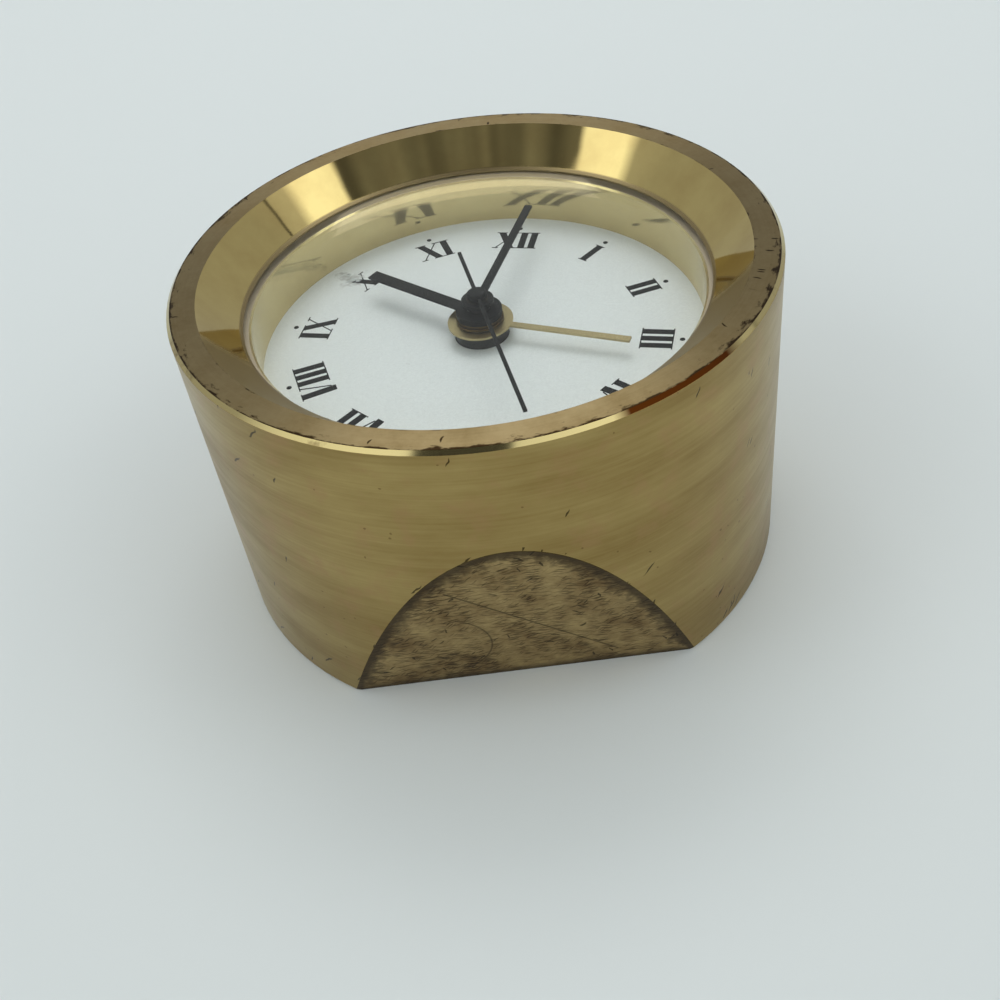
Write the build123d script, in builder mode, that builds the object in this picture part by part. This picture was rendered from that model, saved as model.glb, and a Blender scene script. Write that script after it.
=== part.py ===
from build123d import *
import math
import os

os.makedirs("parts", exist_ok=True)

# All sizes are millimetres. The clock lies on its back: Z runs up out of the dial, the foot flat faces -Y.

# Brass case
CASE_DIAMETER = 80.0
RIM_WIDTH = 3.3
FRONT_BEVEL = 0.5
BACK_BEVEL = 0.4
FOOT_ANGLE = 13.8
FOOT_REACH = 30.2
BACK_LEDGE = 5.4
LEDGE_BEVEL = 0.6
CONE_DEPTH = 5.0
CONE_LAND = 0.2

# Layers from the back of the case to its front
BACK_FLANGE = 7.0
HOUSING_WALL = 1.6
CELL_DIAMETER = 12.0
CELL_PLAY = 0.4
TRAIN_PLATE = 1.2
WHEEL_THICKNESS = 0.8
WHEEL_STEP = 1.3
WHEEL_LIFT = 0.2
WHEEL_HEADROOM = 0.5
FRONT_PLATE = 1.6
DIAL_THICKNESS = 0.4
DIAL_DEPTH = 7.0
LENS_THICKNESS = 1.6

# Glass, dial ring and dial
LENS_OVERLAP = 1.0
LENS_SEAT_GAP = 0.05
LENS_FIT = 0.3
LENS_RISE = 0.8
LENS_BEVEL = 1.3
LENS_BEVEL_DROP = 0.7
STACK_PLAY = 0.2
DIAL_RING_WALL = 1.8
DIAL_RING_BEVEL = 0.3
DIAL_TURN = 15.7
DIAL_HOLE_PLAY = 0.1
DIAL_FOOT_RADIUS = 0.5
DIAL_FOOT_LENGTH = 1.2
DIAL_FOOT_X = 20.0
DIAL_FOOT_Y = -12.0

# Running clearances
RUN = 0.05
LOOSE = 0.2

# Centre tubes, from the inside out, and how far they stand above the dial
SECOND_ARBOR_RADIUS = 0.5
MINUTE_TUBE_RADIUS = 1.5
HOUR_TUBE_RADIUS = 2.4
ALARM_TUBE_RADIUS = 3.0
BOSS_RADIUS = 3.7
BOSS_RISE = 1.8

# Hands: heights are above the dial, angles run clockwise from twelve
HAND_THICKNESS = 0.3
ALARM_RISE = 1.95
ALARM_DISC_RADIUS = 4.5
ALARM_LENGTH = 21.2
ALARM_ROOT_WIDTH = 0.9
ALARM_TIP_WIDTH = 1.05
ALARM_ANGLE = 99.0
HOUR_RISE = 3.2
HOUR_HUB_RADIUS = 3.15
HOUR_HUB_THICKNESS = 0.9
HOUR_LENGTH = 19.8
HOUR_WIDTH = 1.85
HOUR_ANGLE = 296.0
COLLET_RADIUS = 3.0
COLLET_LIP = 0.25
COLLET_LIP_HEIGHT = 0.3
MINUTE_RISE = 5.05
MINUTE_HUB_RADIUS = 2.2
MINUTE_HUB_THICKNESS = 0.6
MINUTE_LENGTH = 25.2
MINUTE_WIDTH = 1.1
MINUTE_ANGLE = 5.0
SECOND_RISE = 6.1
SECOND_PIPE_RADIUS = 0.85
SECOND_CAP_RADIUS = 1.35
SECOND_CAP_HEIGHT = 0.3
SECOND_LENGTH = 26.4
SECOND_TAIL = 11.3
SECOND_WIDTH = 0.5
SECOND_ANGLE = 154.7

# Wheels: teeth and places
TOOTH_ROOT_SHARE = 0.26
TOOTH_TIP_SHARE = 0.12
TOOTH_ADDENDUM = 0.8
TOOTH_DEDENDUM = 1.15
PINION_TEETH = 6
THIRD_TEETH = 48
CENTRE_TEETH = 45
SECOND_TEETH = 36
INTER_TEETH = 30
CANNON_TEETH = 10
MINUTE_TEETH = 30
MINUTE_PINION_TEETH = 8
HOUR_TEETH = 32
SET_TEETH = 10
ALARM_SET_TEETH = 20
ALARM_TEETH = 40
THIRD_DISTANCE = 9.0
THIRD_ANGLE = 180.0
INTER_DISTANCE = 7.35
INTER_ANGLE = 15.0
ROTOR_ANGLE = -15.0
MINUTE_DISTANCE = 10.0
MINUTE_PLACE_ANGLE = 60.0
SET_ANGLE = 0.0
ALARM_SET_DISTANCE = 17.3
ALARM_SET_ANGLE = 150.0
PINION_LENGTH = 1.15
STUD_RADIUS = 0.4
MINUTE_STUD_RADIUS = 0.8
STUD_TIP = 0.1
SPOKE_HOLES = 5

# Motor
MAGNET_RADIUS = 2.4
STATOR_GAP = 0.5
STATOR_THICKNESS = 1.0
STATOR_LEFT = 9.4
STATOR_RIGHT = 17.0
STATOR_TOP = 6.6
STATOR_ARM = 2.4
STATOR_DROP = 11.4
STATOR_END = 23.4
STATOR_NOTCH = 0.5
CORE_THICKNESS = 1.0
COIL_X = 22.0
COIL_FLANGE = 6.8
COIL_FLANGE_THICKNESS = 0.8
COIL_TUBE = 0.5
WINDING_RADIUS = 3.1

# Setting shafts and knobs
SHAFT_RADIUS = 1.4
SHAFT_TIP_RADIUS = 0.8
SHAFT_TIP_LENGTH = 0.9
KNOB_RADIUS = 5.2
KNOB_HEIGHT = 5.0
KNOB_GAP = 0.5
KNOB_BEVEL = 0.5
KNOB_FLUTES = 20
FLUTE_RADIUS = 0.5

# Posts and screws
POST_RADIUS = 3.0
POST_TOP_RADIUS = 1.8
POST_INSET = 4.2
POST_ANGLES = (45.0, 135.0, 210.0, 330.0)
SCREW_RADIUS = 0.8
SCREW_HEAD_RADIUS = 1.6
SCREW_HEAD_HEIGHT = 0.8
SCREW_LENGTH = 6.0
SCREW_SLOT = 0.4

# Cell and its compartment
CELL_LENGTH = 29.1
CELL_NUB_RADIUS = 1.9
CELL_NUB_LENGTH = 1.1
CONTACT_ROOM = 1.5
CELL_BAY_PLAY = 0.3
CELL_Y = -14.5
BAY_WALL = 1.2
CONTACT_THICKNESS = 0.4
CONTACT_WIDTH = 9.0
CONTACT_TOUCH = 0.02
DOOR_NOTCH_WIDTH = 12.0
DOOR_NOTCH_DEPTH = 1.0
DOOR_RIB = 1.0

# Alarm slide, circuit and buzzer
SLIDE_INSET = 10.6
SLIDE_TRAVEL = 3.0
SLIDE_NECK = 3.0
SLIDE_NECK_WIDTH = 2.0
SLIDE_THUMB = 6.0
SLIDE_THUMB_WIDTH = 4.0
SLIDE_THUMB_HEIGHT = 2.6
SLIDE_PLATE_HEIGHT = 1.0
SLIDE_RIDGES = 3
BOARD_WIDTH = 22.0
BOARD_DEPTH = 9.0
BOARD_RISE = 3.8
BOARD_THICKNESS = 1.2
BOARD_PEG_RADIUS = 1.5
BOARD_PEG_X = 8.8
CRYSTAL_RADIUS = 1.5
CRYSTAL_LENGTH = 8.0
CHIP_SIZE = 6.0
CHIP_HEIGHT = 1.4
BUZZER_INSET = 4.1
BUZZER_ROOM = 0.1
BUZZER_RADIUS = 6.5
BUZZER_THICKNESS = 0.8
BUZZER_SEAT = 0.8
BUZZER_SEAT_WALL = 1.0
SOUND_HOLE_RADIUS = 0.6
SOUND_HOLE_CIRCLE = 3.0
LEAF_WIDTH = 1.6
LEAF_THICKNESS = 0.25
LEAF_REACH = 10.0
LEAF_POST_Y = -20.0
LEAF_POST_RADIUS = 1.5

# Radii that follow
case_radius = CASE_DIAMETER / 2
cone_outer = case_radius - FRONT_BEVEL - RIM_WIDTH
cone_inner = cone_outer - CONE_DEPTH
stack_radius = cone_inner + LENS_OVERLAP
bore_radius = stack_radius + STACK_PLAY
back_opening = bore_radius - BACK_LEDGE
housing_inner = stack_radius - HOUSING_WALL
dial_ring_inner = stack_radius - DIAL_RING_WALL

# Heights that follow
housing_floor = BACK_FLANGE
bay_floor = housing_floor + HOUSING_WALL
train_floor = bay_floor + CELL_DIAMETER + CELL_PLAY
train_top = train_floor + TRAIN_PLATE
second_level = train_top + WHEEL_LIFT
third_level = second_level + WHEEL_STEP
centre_level = third_level + WHEEL_STEP
minute_level = centre_level + WHEEL_STEP
hour_level = minute_level + WHEEL_STEP
alarm_level = hour_level + WHEEL_STEP
plate_floor = alarm_level + WHEEL_THICKNESS + WHEEL_HEADROOM
dial_floor = plate_floor + FRONT_PLATE
dial_top = dial_floor + DIAL_THICKNESS
lens_floor = dial_top + DIAL_DEPTH
bezel_floor = lens_floor + LENS_THICKNESS
cone_floor = bezel_floor + CONE_LAND
case_depth = cone_floor + CONE_DEPTH


def polar(distance, angle, start=(0.0, 0.0)):
    """The point at a distance and an angle from another point."""
    turn = math.radians(angle)
    return (start[0] + distance * math.cos(turn), start[1] + distance * math.sin(turn))


def level(height, place=(0.0, 0.0)):
    """The movement's own plane, turned with the dial, at a height and a place."""
    turned = Plane.XY.rotated((0, 0, -DIAL_TURN))
    spot = turned.from_local_coords((place[0], place[1], height))
    return Plane(origin=spot, x_dir=turned.x_dir, z_dir=turned.z_dir)


def hand_plane(height, angle):
    """A plane whose X runs along a hand that points at an angle clockwise from twelve."""
    return level(height).rotated((0, 0, 90.0 - angle), ordering=Intrinsic.XYZ)


def module_for(distance, first, second):
    """The tooth module that puts two wheels at a distance."""
    return 2 * distance / (first + second)


def meshed(teeth, phase, place, other_teeth, other_place):
    """The phase of the other wheel that lets its gap take this wheel's tooth."""
    line = math.degrees(math.atan2(other_place[1] - place[1], other_place[0] - place[0]))
    share = teeth * (line - phase) / 360.0
    return line + 180.0 - (0.5 - share) * 360.0 / other_teeth


def gear_outline(teeth, module, phase):
    """The corners of a toothed wheel's edge."""
    root = (teeth / 2 - TOOTH_DEDENDUM) * module
    tip = (teeth / 2 + TOOTH_ADDENDUM) * module
    corners = []
    for tooth in range(teeth):
        for radius, share in (
            (root, -TOOTH_ROOT_SHARE),
            (tip, -TOOTH_TIP_SHARE),
            (tip, TOOTH_TIP_SHARE),
            (root, TOOTH_ROOT_SHARE),
        ):
            corners.append(polar(radius, phase + 360.0 * (tooth + share) / teeth))
    return corners


def gear_face(teeth, module, phase):
    """Draw a toothed wheel in the open sketch."""
    Polygon(*gear_outline(teeth, module, phase), align=None)


def blade(length, root_width, tip_width, start=0.0):
    """Draw a hand's straight blade along X in the open sketch."""
    Polygon(
        (start, -root_width / 2),
        (length, -tip_width / 2),
        (length, tip_width / 2),
        (start, root_width / 2),
        align=None,
    )


def finish(builder, name):
    """Name a piece and write it out."""
    builder.part.label = name
    export_step(builder.part, f"parts/{name}.step")


# Places of the wheels
third_place = polar(THIRD_DISTANCE, THIRD_ANGLE)
inter_place = polar(INTER_DISTANCE, INTER_ANGLE)
inter_module = module_for(INTER_DISTANCE, PINION_TEETH, SECOND_TEETH)
rotor_distance = inter_module * (PINION_TEETH + INTER_TEETH) / 2
rotor_place = polar(rotor_distance, ROTOR_ANGLE, inter_place)
minute_place = polar(MINUTE_DISTANCE, MINUTE_PLACE_ANGLE)
minute_module = module_for(MINUTE_DISTANCE, CANNON_TEETH, MINUTE_TEETH)
hour_module = module_for(MINUTE_DISTANCE, MINUTE_PINION_TEETH, HOUR_TEETH)
set_distance = minute_module * (SET_TEETH + MINUTE_TEETH) / 2
set_place = polar(set_distance, SET_ANGLE, minute_place)
alarm_set_place = polar(ALARM_SET_DISTANCE, ALARM_SET_ANGLE)
alarm_module = module_for(ALARM_SET_DISTANCE, ALARM_SET_TEETH, ALARM_TEETH)
second_pinion_module = module_for(THIRD_DISTANCE, PINION_TEETH, THIRD_TEETH)
centre_module = module_for(THIRD_DISTANCE, PINION_TEETH, CENTRE_TEETH)
middle = (0.0, 0.0)
post_circle = stack_radius - POST_INSET
post_places = [polar(post_circle, angle) for angle in POST_ANGLES]

# Phases that put the teeth in mesh as the clock stands
second_phase = 0.0
third_phase = meshed(PINION_TEETH, second_phase, middle, THIRD_TEETH, third_place)
centre_phase = meshed(PINION_TEETH, third_phase, third_place, CENTRE_TEETH, middle)
inter_phase = meshed(SECOND_TEETH, second_phase, middle, PINION_TEETH, inter_place)
rotor_phase = meshed(INTER_TEETH, inter_phase, inter_place, PINION_TEETH, rotor_place)
cannon_phase = 0.0
minute_phase = meshed(CANNON_TEETH, cannon_phase, middle, MINUTE_TEETH, minute_place)
hour_phase = meshed(MINUTE_PINION_TEETH, minute_phase, minute_place, HOUR_TEETH, middle)
set_phase = meshed(MINUTE_TEETH, minute_phase, minute_place, SET_TEETH, set_place)
alarm_phase = 0.0
alarm_set_phase = meshed(ALARM_TEETH, alarm_phase, middle, ALARM_SET_TEETH, alarm_set_place)

# Brass case, turned from thick tube, with the slanted flat it stands on
with BuildPart() as brass_case:
    with BuildSketch(Plane.XZ):
        with BuildLine():
            Polyline(
                (back_opening + LEDGE_BEVEL, 0),
                (case_radius - BACK_BEVEL, 0),
                (case_radius, BACK_BEVEL),
                (case_radius, case_depth - FRONT_BEVEL),
                (case_radius - FRONT_BEVEL, case_depth),
                (cone_outer, case_depth),
                (cone_outer, bezel_floor),
                (bore_radius, bezel_floor),
                (bore_radius, BACK_FLANGE),
                (back_opening, BACK_FLANGE),
                (back_opening, LEDGE_BEVEL),
                close=True,
            )
        make_face()
    revolve(axis=Axis.Z)
    foot_drop = FOOT_REACH * math.tan(math.radians(FOOT_ANGLE))
    with BuildSketch(Plane.YZ):
        with BuildLine():
            Polyline(
                (-case_radius, FOOT_REACH),
                (-case_radius + foot_drop, 0),
                (-case_radius - foot_drop, 0),
                close=True,
            )
        make_face()
    extrude(amount=case_radius, both=True, mode=Mode.SUBTRACT)
finish(brass_case, "brass_case")

# Polished cone ring that closes the front
with BuildPart() as cone_ring:
    with BuildSketch(Plane.XZ):
        with BuildLine():
            Polyline(
                (cone_inner, bezel_floor),
                (cone_outer, bezel_floor),
                (cone_outer, case_depth),
                (cone_inner, cone_floor),
                close=True,
            )
        make_face()
    revolve(axis=Axis.Z)
finish(cone_ring, "cone_ring")

# Glass with a flange under the cone ring and a ground bevel round its raised middle
lens_radius = cone_inner - LENS_FIT
lens_top = bezel_floor + LENS_RISE
with BuildPart() as glass:
    with BuildSketch(Plane.XZ):
        with BuildLine():
            Polyline(
                (0, lens_floor + LENS_SEAT_GAP),
                (stack_radius, lens_floor + LENS_SEAT_GAP),
                (stack_radius, bezel_floor),
                (lens_radius, bezel_floor),
                (lens_radius, lens_top - LENS_BEVEL_DROP),
                (lens_radius - LENS_BEVEL, lens_top),
                (0, lens_top),
                close=True,
            )
        make_face()
    revolve(axis=Axis.Z)
finish(glass, "glass")

with BuildPart() as dial_ring:
    with BuildSketch(Plane.XY.offset(dial_top)):
        Circle(stack_radius)
        Circle(dial_ring_inner, mode=Mode.SUBTRACT)
    extrude(amount=DIAL_DEPTH)
    ring_edges = dial_ring.edges().filter_by(GeomType.CIRCLE).group_by(Axis.Z)[-1]
    chamfer(ring_edges.sort_by(SortBy.RADIUS)[0], DIAL_RING_BEVEL)
finish(dial_ring, "dial_ring")

dial_feet = ((-DIAL_FOOT_X, DIAL_FOOT_Y), (DIAL_FOOT_X, DIAL_FOOT_Y))
with BuildPart() as dial:
    with BuildSketch(level(dial_floor)):
        Circle(stack_radius)
        Circle(BOSS_RADIUS + DIAL_HOLE_PLAY, mode=Mode.SUBTRACT)
    extrude(amount=DIAL_THICKNESS)
    with BuildSketch(level(dial_floor)):
        with Locations(*dial_feet):
            Circle(DIAL_FOOT_RADIUS)
    extrude(amount=-DIAL_FOOT_LENGTH)
finish(dial, "dial")

# Movement: front plate with the boss that shows through the dial
with BuildPart() as front_plate:
    with BuildSketch(level(plate_floor)):
        Circle(stack_radius)
    extrude(amount=FRONT_PLATE)
    with BuildSketch(level(dial_floor)):
        Circle(BOSS_RADIUS)
    extrude(amount=DIAL_THICKNESS + BOSS_RISE)
    with BuildSketch(level(plate_floor)):
        Circle(ALARM_TUBE_RADIUS + RUN)
        with Locations(*dial_feet):
            Circle(DIAL_FOOT_RADIUS)
        with Locations(*post_places):
            Circle(SCREW_RADIUS)
    extrude(amount=FRONT_PLATE + DIAL_THICKNESS + BOSS_RISE, mode=Mode.SUBTRACT)
    with BuildSketch(level(dial_floor)):
        with Locations(*post_places):
            Circle(SCREW_HEAD_RADIUS)
    extrude(amount=-SCREW_HEAD_HEIGHT, mode=Mode.SUBTRACT)
    with BuildSketch(level(plate_floor)):
        with Locations(set_place, alarm_set_place):
            Circle(SHAFT_TIP_RADIUS + RUN)
    extrude(amount=SHAFT_TIP_LENGTH + RUN, mode=Mode.SUBTRACT)
finish(front_plate, "front_plate")

screw_floor = dial_floor - SCREW_HEAD_HEIGHT - SCREW_LENGTH
with BuildPart() as plate_screws:
    with BuildSketch(level(screw_floor)):
        with Locations(*post_places):
            Circle(SCREW_RADIUS)
    extrude(amount=SCREW_LENGTH)
    with BuildSketch(level(dial_floor)):
        with Locations(*post_places):
            Circle(SCREW_HEAD_RADIUS)
    extrude(amount=-SCREW_HEAD_HEIGHT)
    with BuildSketch(level(dial_floor)):
        with Locations(*post_places):
            Rectangle(3 * SCREW_HEAD_RADIUS, SCREW_SLOT)
    extrude(amount=-SCREW_HEAD_HEIGHT / 2, mode=Mode.SUBTRACT)
finish(plate_screws, "plate_screws")

# Rear housing: a cup with posts, cell bay, board pegs, buzzer seat, shaft holes and slide slot
bay_inner_x = CELL_LENGTH + CELL_NUB_LENGTH + 2 * CONTACT_ROOM
bay_inner_y = CELL_DIAMETER + 2 * CELL_BAY_PLAY
buzzer_x = BUZZER_INSET + BUZZER_RADIUS - housing_inner
buzzer_y = CELL_Y + bay_inner_y / 2 + BAY_WALL + BUZZER_ROOM + BUZZER_RADIUS
slide_y = housing_inner - SLIDE_INSET
board_pegs = ((-BOARD_PEG_X, slide_y), (BOARD_PEG_X, slide_y))
board_floor = bay_floor + BOARD_RISE
neck_slot = SLIDE_NECK + SLIDE_TRAVEL + LOOSE
with BuildPart() as rear_housing:
    with BuildSketch(level(housing_floor)):
        Circle(stack_radius)
    extrude(amount=plate_floor - housing_floor)
    with BuildSketch(level(bay_floor)):
        Circle(housing_inner)
    extrude(amount=plate_floor - bay_floor, mode=Mode.SUBTRACT)
    with BuildSketch(level(bay_floor)):
        with Locations(*post_places):
            Circle(POST_RADIUS)
    extrude(amount=train_floor - bay_floor)
    with BuildSketch(level(train_floor)):
        with Locations(*post_places):
            Circle(POST_TOP_RADIUS)
    extrude(amount=plate_floor - train_floor)
    with BuildSketch(level(screw_floor)):
        with Locations(*post_places):
            Circle(SCREW_RADIUS)
    extrude(amount=plate_floor - screw_floor, mode=Mode.SUBTRACT)
    with BuildSketch(level(bay_floor)):
        with Locations((0, CELL_Y)):
            Rectangle(bay_inner_x + 2 * BAY_WALL, bay_inner_y + 2 * BAY_WALL)
        with Locations(*board_pegs):
            Circle(BOARD_PEG_RADIUS)
    extrude(amount=BOARD_RISE)
    with BuildSketch(level(board_floor)):
        with Locations((0, CELL_Y)):
            Rectangle(bay_inner_x + 2 * BAY_WALL, bay_inner_y + 2 * BAY_WALL)
    extrude(amount=train_floor - board_floor)
    with BuildSketch(level(housing_floor)):
        with Locations((0, CELL_Y)):
            Rectangle(bay_inner_x, bay_inner_y)
        with Locations(set_place, alarm_set_place):
            Circle(SHAFT_RADIUS + RUN)
        with Locations((0, slide_y)):
            Rectangle(neck_slot, SLIDE_NECK_WIDTH + LOOSE)
        with Locations((buzzer_x, buzzer_y)):
            Circle(SOUND_HOLE_RADIUS)
            with PolarLocations(SOUND_HOLE_CIRCLE, 6):
                Circle(SOUND_HOLE_RADIUS)
    extrude(amount=train_floor - housing_floor, mode=Mode.SUBTRACT)
    with BuildSketch(level(bay_floor)):
        with Locations((buzzer_x, buzzer_y)):
            Circle(BUZZER_RADIUS)
            Circle(BUZZER_RADIUS - BUZZER_SEAT_WALL, mode=Mode.SUBTRACT)
    extrude(amount=BUZZER_SEAT)
finish(rear_housing, "rear_housing")

# Train plate with the studs that the wheels turn on
coil_top = STATOR_TOP - STATOR_ARM
coil_bottom = -STATOR_DROP + STATOR_ARM
coil_length = coil_top - coil_bottom
coil_middle = (coil_top + coil_bottom) / 2
leaf_floor = alarm_level - LOOSE - LEAF_THICKNESS
inter_stud_top = third_level + WHEEL_THICKNESS
rotor_stud_top = third_level + PINION_LENGTH
third_stud_top = centre_level + PINION_LENGTH
minute_stud_top = hour_level + PINION_LENGTH
with BuildPart() as train_plate:
    with BuildSketch(level(train_floor)):
        Circle(housing_inner - LOOSE)
        with Locations(*post_places):
            Circle(POST_TOP_RADIUS + STUD_TIP, mode=Mode.SUBTRACT)
        with Locations((COIL_X, coil_middle)):
            Rectangle(COIL_FLANGE + 4 * LOOSE, coil_length + 2 * LOOSE, mode=Mode.SUBTRACT)
        with Locations(set_place, alarm_set_place):
            Circle(SHAFT_RADIUS + LOOSE, mode=Mode.SUBTRACT)
        Circle(SECOND_ARBOR_RADIUS + RUN, mode=Mode.SUBTRACT)
    extrude(amount=TRAIN_PLATE)
    for stud_place, stud_radius, stud_top in (
        (third_place, STUD_RADIUS, third_stud_top),
        (inter_place, STUD_RADIUS, inter_stud_top),
        (rotor_place, STUD_RADIUS, rotor_stud_top),
        (minute_place, MINUTE_STUD_RADIUS, minute_stud_top),
        ((0, LEAF_POST_Y), LEAF_POST_RADIUS, leaf_floor),
    ):
        with BuildSketch(level(train_top, stud_place)):
            Circle(stud_radius)
        extrude(amount=stud_top - train_top)
finish(train_plate, "train_plate")

# Going train
with BuildPart() as second_wheel:
    with BuildSketch(level(train_floor)):
        Circle(SECOND_ARBOR_RADIUS)
    extrude(amount=dial_top + SECOND_RISE + HAND_THICKNESS - train_floor)
    with BuildSketch(level(second_level)):
        gear_face(SECOND_TEETH, inter_module, second_phase)
        spoke_circle = SECOND_TEETH * inter_module / 4
        with PolarLocations(spoke_circle, SPOKE_HOLES):
            Circle(spoke_circle / 3, mode=Mode.SUBTRACT)
    extrude(amount=WHEEL_THICKNESS)
    with BuildSketch(level(second_level + WHEEL_THICKNESS)):
        gear_face(PINION_TEETH, second_pinion_module, second_phase)
    extrude(amount=third_level + WHEEL_THICKNESS - second_level - WHEEL_THICKNESS)
finish(second_wheel, "second_wheel")

with BuildPart() as third_wheel:
    with BuildSketch(level(third_level, third_place)):
        gear_face(THIRD_TEETH, second_pinion_module, third_phase)
        spoke_circle = THIRD_TEETH * second_pinion_module / 4
        with PolarLocations(spoke_circle, SPOKE_HOLES):
            Circle(spoke_circle / 3, mode=Mode.SUBTRACT)
    extrude(amount=WHEEL_THICKNESS)
    with BuildSketch(level(third_level + WHEEL_THICKNESS, third_place)):
        gear_face(PINION_TEETH, centre_module, third_phase)
    extrude(amount=centre_level + WHEEL_THICKNESS - third_level - WHEEL_THICKNESS)
    with BuildSketch(level(third_level, third_place)):
        Circle(STUD_RADIUS + RUN)
    extrude(amount=centre_level + WHEEL_THICKNESS - third_level, mode=Mode.SUBTRACT)
finish(third_wheel, "third_wheel")

with BuildPart() as centre_wheel:
    with BuildSketch(level(centre_level)):
        gear_face(CENTRE_TEETH, centre_module, centre_phase)
        spoke_circle = CENTRE_TEETH * centre_module / 4
        with PolarLocations(spoke_circle, SPOKE_HOLES):
            Circle(spoke_circle / 3, mode=Mode.SUBTRACT)
        Circle(MINUTE_TUBE_RADIUS + RUN, mode=Mode.SUBTRACT)
    extrude(amount=WHEEL_THICKNESS)
finish(centre_wheel, "centre_wheel")

with BuildPart() as intermediate_wheel:
    with BuildSketch(level(second_level, inter_place)):
        gear_face(PINION_TEETH, inter_module, inter_phase)
    extrude(amount=third_level - second_level)
    with BuildSketch(level(third_level, inter_place)):
        gear_face(INTER_TEETH, inter_module, inter_phase)
    extrude(amount=WHEEL_THICKNESS)
    with BuildSketch(level(second_level, inter_place)):
        Circle(STUD_RADIUS + RUN)
    extrude(amount=third_level + WHEEL_THICKNESS - second_level, mode=Mode.SUBTRACT)
finish(intermediate_wheel, "intermediate_wheel")

with BuildPart() as rotor:
    with BuildSketch(level(second_level, rotor_place)):
        Circle(MAGNET_RADIUS)
    extrude(amount=WHEEL_THICKNESS)
    with BuildSketch(level(second_level + WHEEL_THICKNESS, rotor_place)):
        gear_face(PINION_TEETH, inter_module, rotor_phase)
    extrude(amount=third_level - second_level + LOOSE)
    with BuildSketch(level(second_level, rotor_place)):
        Circle(STUD_RADIUS + RUN)
    extrude(amount=2 * WHEEL_STEP, mode=Mode.SUBTRACT)
finish(rotor, "rotor")

# Motion work and setting train
minute_tube_top = dial_top + MINUTE_RISE + MINUTE_HUB_THICKNESS
with BuildPart() as cannon_pinion:
    with BuildSketch(level(centre_level)):
        Circle(MINUTE_TUBE_RADIUS)
    extrude(amount=minute_tube_top - centre_level)
    with BuildSketch(level(minute_level - LOOSE)):
        gear_face(CANNON_TEETH, minute_module, cannon_phase)
    extrude(amount=WHEEL_THICKNESS + 2 * LOOSE)
    with BuildSketch(level(centre_level)):
        Circle(SECOND_ARBOR_RADIUS + RUN)
    extrude(amount=minute_tube_top - centre_level, mode=Mode.SUBTRACT)
finish(cannon_pinion, "cannon_pinion")

with BuildPart() as minute_wheel:
    with BuildSketch(level(minute_level, minute_place)):
        gear_face(MINUTE_TEETH, minute_module, minute_phase)
    extrude(amount=WHEEL_THICKNESS)
    with BuildSketch(level(minute_level + WHEEL_THICKNESS, minute_place)):
        gear_face(MINUTE_PINION_TEETH, hour_module, minute_phase)
    extrude(amount=hour_level - minute_level)
    with BuildSketch(level(minute_level, minute_place)):
        Circle(MINUTE_STUD_RADIUS + RUN)
    extrude(amount=hour_level - minute_level + WHEEL_THICKNESS, mode=Mode.SUBTRACT)
finish(minute_wheel, "minute_wheel")

hour_tube_top = dial_top + HOUR_RISE + HOUR_HUB_THICKNESS - HAND_THICKNESS
with BuildPart() as hour_wheel:
    with BuildSketch(level(hour_level)):
        gear_face(HOUR_TEETH, hour_module, hour_phase)
    extrude(amount=WHEEL_THICKNESS)
    with BuildSketch(level(hour_level)):
        Circle(HOUR_TUBE_RADIUS)
    extrude(amount=hour_tube_top - hour_level)
    with BuildSketch(level(hour_level)):
        Circle(MINUTE_TUBE_RADIUS + RUN)
    extrude(amount=hour_tube_top - hour_level, mode=Mode.SUBTRACT)
finish(hour_wheel, "hour_wheel")

alarm_tube_top = dial_top + ALARM_RISE + HAND_THICKNESS
with BuildPart() as alarm_wheel:
    with BuildSketch(level(alarm_level)):
        gear_face(ALARM_TEETH, alarm_module, alarm_phase)
    extrude(amount=WHEEL_THICKNESS)
    with BuildSketch(level(alarm_level)):
        Circle(ALARM_TUBE_RADIUS)
    extrude(amount=alarm_tube_top - alarm_level)
    with BuildSketch(level(alarm_level)):
        Circle(HOUR_TUBE_RADIUS + RUN)
    extrude(amount=alarm_tube_top - alarm_level, mode=Mode.SUBTRACT)
finish(alarm_wheel, "alarm_wheel")


# Setting shafts run from the knobs through the housing to the wheels; both are made alike
knob_floor = housing_floor - KNOB_GAP - KNOB_HEIGHT


def setting_shaft(place, teeth, module, phase, wheel_level):
    """A moulded shaft with its pinion and its tip in the front plate."""
    with BuildPart() as shaft:
        with BuildSketch(level(knob_floor + KNOB_HEIGHT / 2, place)):
            Circle(SHAFT_RADIUS)
        extrude(amount=plate_floor - RUN - knob_floor - KNOB_HEIGHT / 2)
        with BuildSketch(level(wheel_level - LOOSE, place)):
            gear_face(teeth, module, phase)
        extrude(amount=WHEEL_THICKNESS + LOOSE)
        with BuildSketch(level(plate_floor - RUN, place)):
            Circle(SHAFT_TIP_RADIUS)
        extrude(amount=SHAFT_TIP_LENGTH)
    return shaft


def setting_knob(place):
    """A fluted knob with a blind hole for its shaft."""
    with BuildPart() as knob:
        with BuildSketch(level(knob_floor, place)):
            Circle(KNOB_RADIUS)
        extrude(amount=KNOB_HEIGHT)
        chamfer(knob.edges().filter_by(GeomType.CIRCLE).group_by(Axis.Z)[0], KNOB_BEVEL)
        with BuildSketch(level(knob_floor, place)):
            with PolarLocations(KNOB_RADIUS, KNOB_FLUTES):
                RegularPolygon(FLUTE_RADIUS, 4)
        extrude(amount=KNOB_HEIGHT, mode=Mode.SUBTRACT)
        with BuildSketch(level(knob_floor + KNOB_HEIGHT / 2, place)):
            Circle(SHAFT_RADIUS)
        extrude(amount=KNOB_HEIGHT / 2, mode=Mode.SUBTRACT)
    return knob


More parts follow.
